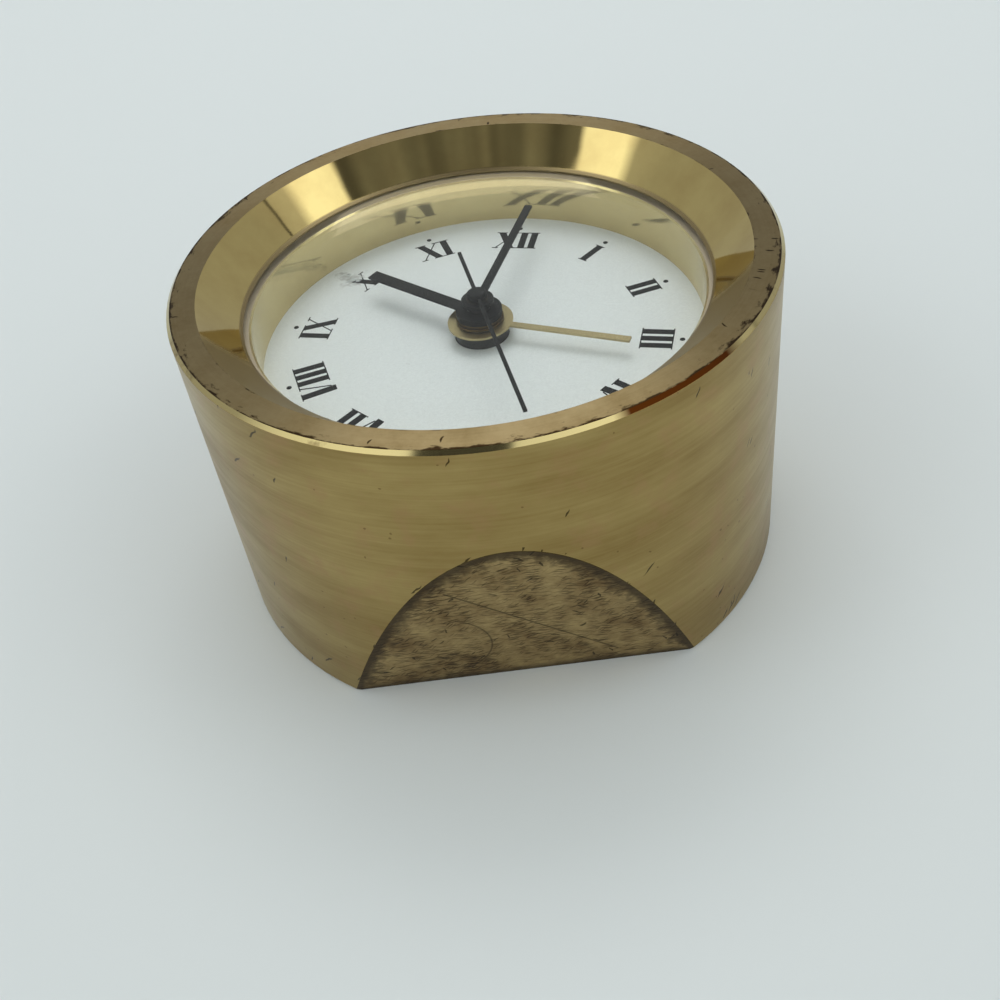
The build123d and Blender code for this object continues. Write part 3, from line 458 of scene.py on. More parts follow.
        # Nicks gather at the foot flat, the front edge, the back edge and one patch low right.
        edges = add("MapRange", between(at.depth, *self.foot_band, MM))
        edges = self.gathered(add, edges, at.z, self.nick_bands)
        scuff = self.stretch(at, self.scuff_angles)
        low = add("MapRange", between(at.z, *self.scuff_band, MM))
        for part in (low, add("Math:GREATER_THAN", [at.z, self.back_mm * MM])):
            scuff = add("Math:MULTIPLY", [scuff, part])
        edges = add("Math:ADD", [edges, scuff])
        bare = add("Math:SUBTRACT", [self.nick_bare, edges])
        nick, dash = [layer.draw(add, at.sheet, bare) for layer in self.nicks]
        nick = add("Math:MAXIMUM", [nick, dash])
        coats = [
            (self.drift.graded(add, mixed), self.deep),
            (self.flush.draw(add, at.place), self.blush),
            (self.spots.draw(add, at.sheet), self.speck),
            (nick, self.dirt),
        ]
        colour = coated(add, self.metal, coats)
        rough = add("MapRange", between(mixed, *self.side_rough))
        return [colour, rough, nick, lines]

    def rim(self, at: CasePoint) -> list[Any]:
        """Colour the flat rim and the bevel outside it.

        Args:
            at: The point.

        Returns:
            Colour, roughness and how far reflections are drawn out.
        """
        add = at.add
        lines = self.rim_lines.height(add, at.sheet)
        bloom = self.bloom.height(add, at.place)
        mixed = add("Math:MULTIPLY_ADD", [lines, self.rim_line_share, bloom])
        pits = self.gathered(add, self.pits.height(add, at.sheet), at.radius, self.pit_bands)
        pit = self.pits.graded(add, pits)
        laid = add("CombineXYZ", [at.along, at.radius])
        # One group of scratches runs across the rim at the right.
        group = self.rim_group.draw(add, laid)
        group = add("Math:MULTIPLY", [group, self.stretch(at, self.group_angles)])
        for scratch in (self.rim_scratch.draw(add, laid), group):
            pit = add("Math:MAXIMUM", [pit, scratch])
        coats = [(self.bloom.graded(add, mixed), self.tarnish), (pit, self.streak)]
        colour = coated(add, self.rim_metal, coats)
        rough = add("MapRange", between(mixed, *self.rim_rough))
        # One long stretch of the bevel, right of the front, is rust brown all along.
        red = self.red.draw(add, at.place)
        red = add("Math:MAXIMUM", [red, self.stretch(at, self.rust_angles)])
        edge = coated(add, self.bright, [(red, self.rust)])
        on_bevel = add("Math:GREATER_THAN", [at.radius, self.bevel_mm * MM])
        colour = add("Mix", {0: on_bevel, 6: colour, 7: edge}, **COLOUR)
        rough = add("Mix", {0: on_bevel, 2: rough, 3: self.bevel_rough})
        # Turning lines draw reflections out across themselves.
        drawn = add("Mix", {0: on_bevel, 2: self.rim_stretch, 3: 0.0})
        return [colour, rough, drawn]

    def dark_edge_and_toe_shade(self, at: CasePoint, laid: Any) -> Any:
        """Find the dark border along the foot flat's curved edge, and painted shade along its toe.

        Args:
            at: The point.
            laid: The flat laid out.

        Returns:
            The share of the surface that is dark.
        """
        add = at.add
        # How far the curved edge lies from a place, measured along the flat.
        sink = math.sin(math.radians(self.foot_angle))
        lengths = add("VectorMath:MULTIPLY", [at.place, (1.0, sink, 0.0)])
        lengths = add("VectorMath:LENGTH", [lengths], 1)
        steep = add("Math:DIVIDE", [lengths, at.radius])
        inward = add("Math:SUBTRACT", [self.radius_mm * MM, at.radius])
        for part in (steep, self.ragged.draw(add, laid)):
            inward = add("Math:DIVIDE", [inward, part])
        edge = add("MapRange", between(inward, *self.border_fade))
        # Painted shade: the toe darkens where the flat meets the floor.
        toe = add("MapRange", between(at.z, *self.toe_shade_band, MM))
        return add("Math:MAXIMUM", [edge, toe])

    def long_cuts(self, at: CasePoint) -> list[Any]:
        """Draw the foot flat's one long straight scratch and the curved one left of it.

        Args:
            at: The point.

        Returns:
            The share of the surface that each takes.
        """
        add = at.add
        level = add("VectorMath:MULTIPLY", [at.place, (1, 0, 1)])
        start, stop = (Vector(metres(*end)) for end in self.line_mm)
        along = (stop - start).normalized()
        across = (-along.z, 0, along.x)
        half = (stop - start).length / 2
        near = add("VectorMath:SUBTRACT", [level, tuple(start)])
        off = add("VectorMath:DOT_PRODUCT", [near, across], 1)
        run = add("VectorMath:DOT_PRODUCT", [near, tuple(along)], 1)
        on_line = add("Math:COMPARE", [run, half, half])
        bow = add("VectorMath:DISTANCE", [level, metres(*self.bow_middle_mm)], 1)
        bow = add("Math:SUBTRACT", [bow, self.bow_radius_mm * MM])
        on_bow = add("Math:GREATER_THAN", [at.x, self.bow_left_mm * MM])
        drawn = []
        for away, inside, band in ((off, on_line, self.line_band), (bow, on_bow, self.bow_band)):
            away = add("Math:ABSOLUTE", [away])
            cut = add("MapRange", between(away, *band, MM))
            drawn.append(add("Math:MULTIPLY", [cut, inside]))
        return drawn

    def flat(self, at: CasePoint) -> Any:
        """Colour the foot flat: bare worn brass under scratches, dark along its curved edge.

        Args:
            at: The point.

        Returns:
            The colour.
        """
        add = at.add
        laid = add("CombineXYZ", [at.x, at.z])
        coats = [(self.stain.draw(add, laid), self.flat_brown)]
        for scratches, patches in self.hatch:
            parts = [scratches.draw(add, laid), patches.draw(add, laid)]
            coats.append((add("Math:MULTIPLY", parts), self.streak))
        # A dark border along the curved edge, and painted shade along the toe by the floor.
        coats.append((self.dark_edge_and_toe_shade(at, laid), self.border))
        for cut in [layer.draw(add, laid) for layer in self.cuts] + self.long_cuts(at):
            coats.append((cut, self.dirt))
        return coated(add, self.flat_metal, coats)

    def material(self) -> Material:
        """Build the finish, with side, rim and foot flat told apart by place.

        Returns:
            The material.
        """
        made, add, place = new_material("turned_lacquered_brass")
        at = self.point(add, place)
        on_flat = add("Math:GREATER_THAN", [at.depth, -self.foot_skin_mm * MM])
        on_rim = add("Math:GREATER_THAN", [at.z, self.rim_height_mm * MM])
        colour, rough, nick, lines = self.side(at)
        rim, rim_rough, drawn = self.rim(at)
        flat = (on_flat, self.flat(at), self.flat_rough)
        for share, tone, dull in ((on_rim, rim, rim_rough), flat):
            colour = add("Mix", {0: share, 6: colour, 7: tone}, **COLOUR)
            rough = add("Mix", {0: share, 2: rough, 3: dull})
        nick = add("Mix", {0: on_rim, 2: nick, 3: 0.0})
        bump = add("Bump", {"Strength": 0.03, "Distance": 0.02 * MM, "Height": lines})
        dents = {"Strength": 0.3, "Distance": 0.0625 * MM, "Height": nick, "Normal": bump}
        bump = add("Bump", dents, invert=True)
        inputs = {
            "Base Color": colour,
            "Roughness": rough,
            "Normal": bump,
            "Metallic": 1.0,
            "Anisotropic": add("Math:MULTIPLY", [on_rim, drawn]),
            "Anisotropic Rotation": self.stretch_turn,
            "Tangent": add("Tangent", direction_type="RADIAL", axis="Z"),
        }
        add("OutputMaterial", [add("BsdfPrincipled", inputs)])
        return made


@dataclass(frozen=True)
class PolishedMetal:
    """Metal buffed to a mirror: clear reflections, faint turning rings and a little haze.

    Below a place on its face it turns a duller, darker brown, it is darker in a band along its
    inner edge, and above a height it is left matt from the saw.
    """

    name: str
    metal: str
    haze: str
    rough: float
    metallic: float = 1.0
    ring_mm: float = 0.25
    cloud: Cloud = Cloud(6.25, 5.0, 0.6, (0.35, 0.8))
    rough_edges: Pair = (0.3, 0.75)
    rough_rise: float = 1.6
    dull: str = "#8F7D55"
    dull_from_mm: float = -100.0
    dull_over_mm: float = 3.0
    dull_rough: float = 0.5
    crease: str = "#8A795A"
    crease_mm: float = 0.0
    crease_band: Fade = ((-0.15, 0.05), (0.85, 0.0))
    crease_rough: float = 0.4
    matt: str = "#B5A68C"
    matt_from_mm: float = 1000.0
    matt_rough: float = 0.6

    def material(self) -> Material:
        """Build the finish.

        Returns:
            The material.
        """
        made, add, place = new_material(self.name)
        level = add("VectorMath:MULTIPLY", [place, (1, 1, 0)])
        radius = add("VectorMath:LENGTH", [level], 1)
        _, up_face, height = add("SeparateXYZ", [place]).node.outputs
        turned = {"W": radius, "Scale": 1 / (self.ring_mm * MM), "Detail": 2.0}
        rings = add("TexNoise", turned, noise_dimensions="1D")
        cloud = self.cloud.height(add, place)
        levels = (self.rough, self.rough * self.rough_rise)
        rough = add("MapRange", between(cloud, self.rough_edges, levels))
        colour = coated(add, self.metal, [(self.cloud.graded(add, cloud), self.haze)])
        # The face turns duller and darker below a place on it.
        low = add("Math:MULTIPLY_ADD", [cloud, 2 * self.dull_over_mm * MM, up_face])
        ends = (self.dull_from_mm, self.dull_from_mm + self.dull_over_mm)
        low = add("MapRange", between(low, ends, (1.0, 0.0), MM))
        # A darker band runs along the inner edge.
        outward = add("Math:SUBTRACT", [radius, self.crease_mm * MM])
        crease = add("MapRange", between(outward, *self.crease_band, MM))
        sawn = add("Math:GREATER_THAN", [height, self.matt_from_mm * MM])
        for share, tone, dull in (
            (low, self.dull, self.dull_rough),
            (crease, self.crease, self.crease_rough),
            (sawn, self.matt, self.matt_rough),
        ):
            colour = add("Mix", {0: share, 6: colour, 7: linear(tone)}, **COLOUR)
            rough = add("Mix", {0: share, 2: rough, 3: dull})
        grooves = {"Strength": 0.05, "Distance": 0.01 * MM, "Height": rings}
        inputs = {
            "Base Color": colour,
            "Roughness": rough,
            "Normal": add("Bump", grooves),
            "Metallic": self.metallic,
        }
        add("OutputMaterial", [add("BsdfPrincipled", inputs)])
        return made


@dataclass(frozen=True)
class Grained:
    """A painted, moulded or stamped surface: fine grain, cloudy shade and its own gloss."""

    name: str
    colour: str
    shade: str
    rough: float
    grain_mm: float
    metallic: float = 0.0
    bump: float = 0.15
    gloss: float = 0.5
    cloud: Cloud = Cloud(8.333, 5.0, 0.6, (0.3, 0.7))
    shade_edges: Pair = (0.15, 0.42)
    rough_spread: float = 0.15

    def material(self) -> Material:
        """Build the finish.

        Returns:
            The material.
        """
        made, add, place = new_material(self.name)
        grain = Cloud(self.grain_mm, 4.0).height(add, place)
        cloud = self.cloud.height(add, place)
        mixed = add("Math:MULTIPLY", [grain, cloud])
        share = add("MapRange", between(mixed, self.shade_edges))
        levels = [self.rough * (1 + way * self.rough_spread) for way in (-1, 1)]
        relief = {"Strength": self.bump, "Distance": self.grain_mm * 0.1 * MM, "Height": grain}
        inputs = {
            "Base Color": coated(add, self.colour, [(share, self.shade)]),
            "Roughness": add("MapRange", between(cloud, self.cloud.edges, levels)),
            "Normal": add("Bump", relief),
            "Metallic": self.metallic,
            "Specular IOR Level": self.gloss,
        }
        add("OutputMaterial", [add("BsdfPrincipled", inputs)])
        return made


@dataclass(frozen=True)
class DialCoat:
    """A thin matt coat on the dial: even, faintly grained, and worn in one spot by the ten."""

    name: str
    tone: str
    shade: str
    worn: str
    grain: Cloud
    wear: Cloud
    wear_place_mm: Triple
    wear_mm: float
    wear_lift: float
    rough: float
    gloss: float
    bump: float

    def material(self) -> Material:
        """Build the finish.

        Returns:
            The material.
        """
        made, add, place = new_material(self.name)
        grain = self.grain.height(add, place)
        away = add("VectorMath:DISTANCE", [place, metres(*self.wear_place_mm)], 1)
        near = add("MapRange", between(away, (0.0, self.wear_mm), (self.wear_lift, 0.0), MM))
        worn = add("Math:ADD", [self.wear.height(add, place), near])
        coats = [
            (self.grain.graded(add, grain), self.shade),
            (self.wear.graded(add, worn), self.worn),
        ]
        relief = {"Strength": self.bump, "Distance": 0.02 * MM, "Height": grain}
        inputs = {
            "Base Color": coated(add, self.tone, coats),
            "Roughness": self.rough,
            "Normal": add("Bump", relief),
            "Specular IOR Level": self.gloss,
        }
        add("OutputMaterial", [add("BsdfPrincipled", inputs)])
        return made


@dataclass(frozen=True)
class ClearGlass:
    """Mineral glass polished clear: faint wipe marks and a weak mirror image of the room."""

    tint: str = "#FBFDFC"
    wipes: Cloud = Cloud(11.11, 3.0, 0.5, (0.45, 0.8), (0.0, 0.012))
    bend: float = 1.5
    mirror: float = 0.3

    def material(self) -> Material:
        """Build the finish.

        Returns:
            The material.
        """
        made, add, place = new_material("polished_mineral_glass")
        inputs = {
            "Base Color": linear(self.tint),
            "Roughness": self.wipes.draw(add, place),
            "Transmission Weight": 1.0,
            "IOR": self.bend,
            "Specular IOR Level": self.mirror,
        }
        add("OutputMaterial", [add("BsdfPrincipled", inputs)])
        return made


class Stock(Enum):
    """The plain finishes of the hands and the movement, with what each group gives the eye."""

    # Dead black with a soft sheen along the edges.
    BLACK_PAINT = Grained("satin_black_paint_on_brass", "#0A0A09", "#131210", 0.55, 0.2, gloss=0.12)
    # Plastics: broad soft highlights on a fine spark-eroded grain; the acetals look milky.
    BLACK_ABS = Grained("moulded_black_ABS", "#161616", "#222222", 0.5, 0.35)
    KNOB_ABS = Grained("moulded_black_ABS_knob", "#1B1B1B", "#262626", 0.42, 0.3)
    RED_ABS = Grained("moulded_red_ABS", "#9E2A1F", "#84231A", 0.45, 0.3)
    WHITE_POM = Grained("moulded_white_acetal", "#E3E0D6", "#D2CEC2", 0.5, 0.3)
    CREAM_POM = Grained("moulded_cream_acetal", "#DCD5BF", "#CBC3AA", 0.5, 0.3)
    EPOXY = Grained("moulded_black_epoxy", "#151515", "#202020", 0.55, 0.2)
    # Metals: their own colour in blurred reflections, from bright steel to nearly black brass.
    STEEL = Grained("nickel_plated_steel", "#B9B8B4", "#A5A39E", 0.3, 0.2, 1.0)
    IRON = Grained("stamped_silicon_iron", "#7E7D7B", "#6A6967", 0.42, 0.2, 1.0)
    COPPER = Grained("enamelled_copper_wire", "#A6532A", "#8A401E", 0.35, 0.15, 1.0)
    ROLLED_BRASS = Grained("rolled_sheet_brass", "#C4A35E", "#B08F4D", 0.32, 0.25, 1.0)
    GILT = Grained("gilt_stamped_brass", "#BDAE82", "#A39368", 0.34, 0.2, 1.0)
    OLD_BRASS = Grained("dulled_turned_brass", "#6E5C33", "#564626", 0.4, 0.2, 1.0)
    BLACKENED = Grained("blackened_turned_brass", "#2A261F", "#383228", 0.4, 0.2, 1.0)
    CELL_CAN = Grained("lacquered_steel_can", "#4A4C50", "#3C3E42", 0.35, 0.3, 0.6)
    # Dry and nearly without shine.
    LAMINATE = Grained("phenolic_circuit_laminate", "#8A6A33", "#775A2A", 0.55, 0.4)
    FERRITE = Grained("sintered_ferrite", "#2A2928", "#353331", 0.6, 0.2)


@dataclass
class Case:
    """The brass case and its polished cone ring."""

    case_finish: CaseBrass = CaseBrass()
    cone_finish: PolishedMetal = PolishedMetal(
        "buffed_brass_cone", "#C2AE74", "#B39C66", 0.035, dull_from_mm=-10.0, crease_mm=31.6
    )

    def dress(self) -> None:
        """Give the case and the ring their finishes."""
        dress(self.case_finish.material(), "brass_case")
        dress(self.cone_finish.material(), "cone_ring")
        LOG.info("case dressed")


@dataclass
class Window:
    """The flat clear glass that the cone ring holds by its edge."""

    finish: ClearGlass = ClearGlass()
    sides: int = 192
    bevel_mm: float = 0.2
    bevel_steps: int = 2
    seat_mm: float = 0.03
    sharp_angle: float = 60.0
    smooth_angle: float = 10.0

    def build(self) -> Piece:
        """Model the glass as a flat disc with broken edges.

        Returns:
            The disc, seated under the ring.
        """
        low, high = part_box("glass")
        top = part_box("cone_ring")[0].z - self.seat_mm * MM
        deselect()
        bpy.ops.mesh.primitive_cylinder_add(
            vertices=self.sides,
            radius=(high.x - low.x) / 2,
            depth=top - low.z,
            location=(0, 0, (top + low.z) / 2),
        )
        piece = bpy.context.object
        piece.name = "flat_glass"
        bpy.ops.object.mode_set(mode="EDIT")
        bpy.ops.mesh.select_mode(type="EDGE")
        bpy.ops.mesh.select_all(action="DESELECT")
        bpy.ops.mesh.edges_select_sharp(sharpness=math.radians(self.sharp_angle))
        bpy.ops.mesh.bevel(offset=self.bevel_mm * MM, segments=self.bevel_steps)
        bpy.ops.object.mode_set(mode="OBJECT")
        bpy.ops.object.transform_apply(location=True, rotation=True, scale=True)
        bpy.ops.object.shade_smooth_by_angle(angle=math.radians(self.smooth_angle))
        piece.data.materials.append(self.finish.material())
        # Light reaches the dial through the glass without being blocked by it.
        piece.visible_shadow = False
        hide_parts("glass")
        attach(piece, "clock")
        LOG.info("glass seated")
        return piece


@dataclass
class Dial:
    """The white dial, its gold ring, and the printed Roman numerals with a dot outside each."""

    # Matt white with a grey-brown smudge.
    paint: DialCoat = DialCoat(
        "stoved_white_paint",
        "#F1F6F6", "#E7ECEC", "#94938E",
        Cloud(0.3, 3.0, 0.5, (0.35, 0.7)),
        Cloud(1.4286, 6.0, 0.75, (0.66, 0.86), (0.0, 0.75)),
        (-18.9, 18.4, 32.2),
        wear_mm=4.2, wear_lift=0.34, rough=0.55, gloss=0.5, bump=0.1,
    )
    ring: PolishedMetal = PolishedMetal(
        "gold_anodised_ring", "#D6C48D", "#CAB67F", 0.07, metallic=0.75, matt_from_mm=39.15
    )
    # Dense dead black, rubbed through to the white.
    ink: DialCoat = DialCoat(
        "screen_printed_black_ink",
        "#0B0B0B", "#171616", "#CDD3D3",
        Cloud(0.25, 4.0),
        Cloud(0.9091, 5.0, 0.7, (0.74, 0.86)),
        (-18.9, 18.9, 32.2),
        wear_mm=3.4, wear_lift=0.6, rough=0.7, gloss=0.15, bump=0.15,
    )
    turn: float = 15.7
    hour_angle: float = 30.0
    foot_mm: float = 21.8
    cap_mm: float = 4.4
    bar_mm: float = 1.02
    pitch_mm: float = 1.55
    serif_mm: float = 0.17
    thin_mm: float = 0.2
    thick_mm: float = 1.1
    tip_mm: float = 0.45
    vee_mm: float = 3.1
    vee_foot_mm: float = 1.16
    vee_head_mm: float = 0.785
    vee_meet_mm: float = 0.1
    vee_thin_mm: float = 0.3
    vee_serifs_mm: Pair = (1.55, 2.35)
    ex_mm: float = 3.6
    ex_thick_mm: float = 0.8
    ex_thin_mm: float = 0.45
    ex_serifs_mm: Pair = (0.95, 1.6)
    ink_mm: float = 0.03
    dot_radius_mm: float = 0.36
    dot_place_mm: float = 27.35
    dot_sides: int = 24
    dot_inset_mm: float = 0.05

    def dress(self) -> None:
        """Give the dial and its ring their finishes."""
        dress(self.paint.material(), "dial")
        dress(self.ring.material(), "dial_ring")
        LOG.info("dial dressed")

    def slant(self, foot: float, head: float, wide: float, low: float, high: float) -> Stroke:
        """Draw a slanting stroke.

        Args:
            foot: Its middle at the letter's foot, in mm as all of these.
            head: Its middle at the letter's head.
            wide: Its width.
            low: The height where it starts.
            high: The height where it ends.

        Returns:
            Its four corners.
        """
        slope = (head - foot) / self.cap_mm
        corners = ((-1, low), (1, low), (1, high), (-1, high))
        return [(foot + slope * y + way * wide / 2, y) for way, y in corners]

    def serif(self, left: float, right: float, at_head: bool) -> Stroke:
        """Draw a thin line across a stroke's end.

        Args:
            left: Where it starts, in mm.
            right: Where it ends, in mm.
            at_head: Whether it lies at the letter's head.

        Returns:
            Its four corners.
        """
        low = self.cap_mm - self.serif_mm if at_head else 0.0
        high = self.cap_mm if at_head else self.serif_mm
        return [(left, low), (right, low), (right, high), (left, high)]

    def letter_i(self) -> list[Stroke]:
        """Draw an I: a thick bar between two serifs.

        Returns:
            Its strokes.
        """
        middle = self.pitch_mm / 2
        bar = self.slant(middle, middle, self.bar_mm, self.serif_mm, self.cap_mm - self.serif_mm)
        return [bar, *(self.serif(0.0, self.pitch_mm, at_head) for at_head in (False, True))]

    def letter_v(self) -> list[Stroke]:
        """Draw a V: a thick left stroke down to a cut tip, and a thin right one that meets it.

        Returns:
            Its strokes.
        """
        foot, head, meet = self.vee_foot_mm, self.vee_head_mm, self.vee_meet_mm
        high = self.cap_mm - self.serif_mm
        left = self.slant(foot, head, self.thick_mm, -self.tip_mm, high)
        start = foot + (head - foot) * meet / self.cap_mm + (self.thick_mm + self.thin_mm) / 2
        thin_head = self.vee_mm - self.vee_thin_mm
        lean = (thin_head - start) / (self.cap_mm - meet)
        right = self.slant(start - lean * meet, thin_head, self.thin_mm, meet, high)
        end, begin = self.vee_serifs_mm
        return [left, right, self.serif(0.0, end, True), self.serif(begin, self.vee_mm, True)]

    def letter_x(self) -> list[Stroke]:
        """Draw an X: a thick stroke, and a thin one in two parts that meet its sides.

        Returns:
            Its strokes.
        """
        thick_foot, thick_head = self.ex_mm - self.ex_thick_mm, self.ex_thick_mm
        thin_foot, thin_head = self.ex_thin_mm, self.ex_mm - self.ex_thin_mm
        low, high = self.serif_mm, self.cap_mm - self.serif_mm
        thick = self.slant(thick_foot, thick_head, self.thick_mm, low, high)
        thin = self.slant(thin_foot, thin_head, self.thin_mm, low, high)
        half, side = self.thin_mm / 2, self.thick_mm / 2
        thin_slope = (thin_head - thin_foot) / self.cap_mm
        thick_slope = (thick_head - thick_foot) / self.cap_mm
        # Where each edge of the thin stroke meets the thick one's left and right edges.
        meets: list[Pair] = []
        for edge, offset in ((-side, half), (-side, -half), (side, -half), (side, half)):
            height = (thick_foot + edge - thin_foot - offset) / (thin_slope - thick_slope)
            meets.append((thin_foot + offset + thin_slope * height, height))
        short, long = self.ex_serifs_mm
        ends = [
            self.serif(0.0, short, False),
            self.serif(self.ex_mm - long, self.ex_mm, False),
            self.serif(0.0, long, True),
            self.serif(self.ex_mm - short, self.ex_mm, True),
        ]
        return [thick, [*thin[:2], *meets[:2]], [*meets[2:], *thin[2:]], *ends]

    def numeral(self, hour: Roman) -> Piece:
        """Print one numeral, feet to the middle, in strokes that meet and don't overlap.

        Args:
            hour: The hour it stands for.

        Returns:
            The numeral, as it stands at twelve.
        """
        letters = {
            "I": (self.letter_i(), self.pitch_mm),
            "V": (self.letter_v(), self.vee_mm),
            "X": (self.letter_x(), self.ex_mm),
        }
        drawn: list[Stroke] = []
        wide = 0.0
        for letter in hour.name:
            strokes, step = letters[letter]
            drawn += [[(x + wide, y) for x, y in stroke] for stroke in strokes]
            wide += step
        deselect()
        bpy.ops.mesh.primitive_plane_add(size=MM)
        piece = bpy.context.object
        piece.name = f"numeral_{hour.value}"
        bpy.ops.object.mode_set(mode="EDIT")
        bpy.ops.mesh.delete(type="VERT")
        for stroke in drawn:
            bpy.ops.mesh.primitive_plane_add(size=MM)
            shape = bmesh.from_edit_mesh(piece.data)
            corners = [v for v in shape.verts if v.select]
            corners.sort(key=lambda v: math.atan2(v.co.y, v.co.x))
            for vert, (x, y) in zip(corners, stroke):
                vert.co = Vector(metres(x - wide / 2, y + self.foot_mm, 0.0))
            bmesh.update_edit_mesh(piece.data)
        self.thicken()
        return piece

    def dot(self, hour: Roman) -> Piece:
        """Print the dot outside a numeral.

        Args:
            hour: The hour it stands for.

        Returns:
            The dot, as it stands at twelve.
        """
        deselect()
        bpy.ops.mesh.primitive_circle_add(
            vertices=self.dot_sides,
            radius=self.dot_radius_mm * MM,
            fill_type="NGON",
            location=(0, self.dot_place_mm * MM, 0),
        )
        piece = bpy.context.object
        piece.name = f"dot_{hour.value}"
        bpy.ops.object.mode_set(mode="EDIT")
        self.thicken(self.dot_inset_mm)
        return piece

    def thicken(self, inset_mm: float = 0.0) -> None:
        """Raise the faces being edited to the ink's thickness, and leave edit mode.

        Args:
            inset_mm: How far in a rim is drawn round the top, if at all.
        """
        bpy.ops.mesh.select_all(action="SELECT")
        rise = {"value": (0, 0, self.ink_mm * MM)}
        bpy.ops.mesh.extrude_region_move(TRANSFORM_OT_translate=rise)
        if inset_mm:
            bpy.ops.mesh.inset(thickness=inset_mm * MM)
        bpy.ops.mesh.select_all(action="SELECT")
        bpy.ops.mesh.normals_make_consistent(inside=False)
        bpy.ops.object.mode_set(mode="OBJECT")

    def place(self, piece: Piece, hour: Roman, ink: Material) -> None:
        """Turn a printed piece to its hour and lay it on the dial.

        Args:
            piece: The piece, drawn at twelve.
            hour: The hour it stands for.
            ink: The ink's material.
        """
        bpy.ops.object.transform_apply(location=True, rotation=True, scale=True)
        turn = -math.radians(self.turn + self.hour_angle * hour.value)
        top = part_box("dial")[1].z
        piece.data.transform(Matrix.Translation((0, 0, top)) @ Matrix.Rotation(turn, 4, "Z"))
        piece.data.materials.append(ink)
        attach(piece, "clock")

    def build(self) -> list[Piece]:
        """Print all numerals and dots.

        Returns:
            The printed pieces.
        """
        ink = self.ink.material()
        pieces: list[Piece] = []
        for hour in Roman:
            for draw in (self.numeral, self.dot):
                pieces.append(draw(hour))
                self.place(pieces[-1], hour, ink)
            LOG.info("printed %s", hour.name)
        return pieces


@dataclass
class Hands:
    """The four hands and the collet between the alarm disc and the hour hand."""

    black: tuple[str, ...] = ("hour_hand", "minute_hand", "second_hand")

    def dress(self) -> None:
        """Give the hands their finishes."""
        dress(Stock.BLACK_PAINT.value.material(), *self.black)
        dress(Stock.GILT.value.material(), "alarm_hand")
        dress(Stock.OLD_BRASS.value.material(), "hour_collet")
        LOG.info("hands dressed")


@dataclass
class Movement:
    """The quartz alarm movement behind the dial and its controls at the back."""

    wheels: tuple[str, ...] = tuple(
        name + "_wheel"
        for name in ("second", "third", "centre", "intermediate", "minute", "hour", "alarm")
    )

    def finishes(self) -> dict[Stock, tuple[str, ...]]:
        """Say which nodes each finish goes on.

        Returns:
            Finish to node names.
        """
        return {
            Stock.BLACK_ABS: ("front_plate", "rear_housing", "battery_door"),
            Stock.KNOB_ABS: ("time_knob", "alarm_knob"),
            Stock.RED_ABS: ("alarm_slide",),
            Stock.WHITE_POM: ("train_plate", "coil_bobbin"),
            Stock.CREAM_POM: (*self.wheels, "time_shaft", "alarm_shaft"),
            Stock.STEEL: ("plate_screws", "quartz_crystal", "minus_contact", "plus_contact"),
            Stock.IRON: ("stator", "coil_core"),
            Stock.COPPER: ("coil_winding",),
            Stock.LAMINATE: ("circuit_board",),
            Stock.EPOXY: ("clock_chip",),
            Stock.ROLLED_BRASS: ("buzzer_disc", "alarm_leaf"),
            Stock.CELL_CAN: ("cell",),
            Stock.FERRITE: ("rotor",),
            Stock.BLACKENED: ("cannon_pinion",),
        }

    def dress(self) -> None:
        """Give the movement's nodes their finishes."""
        for finish, nodes in self.finishes().items():
            dress(finish.value.material(), *nodes)
        LOG.info("movement dressed")


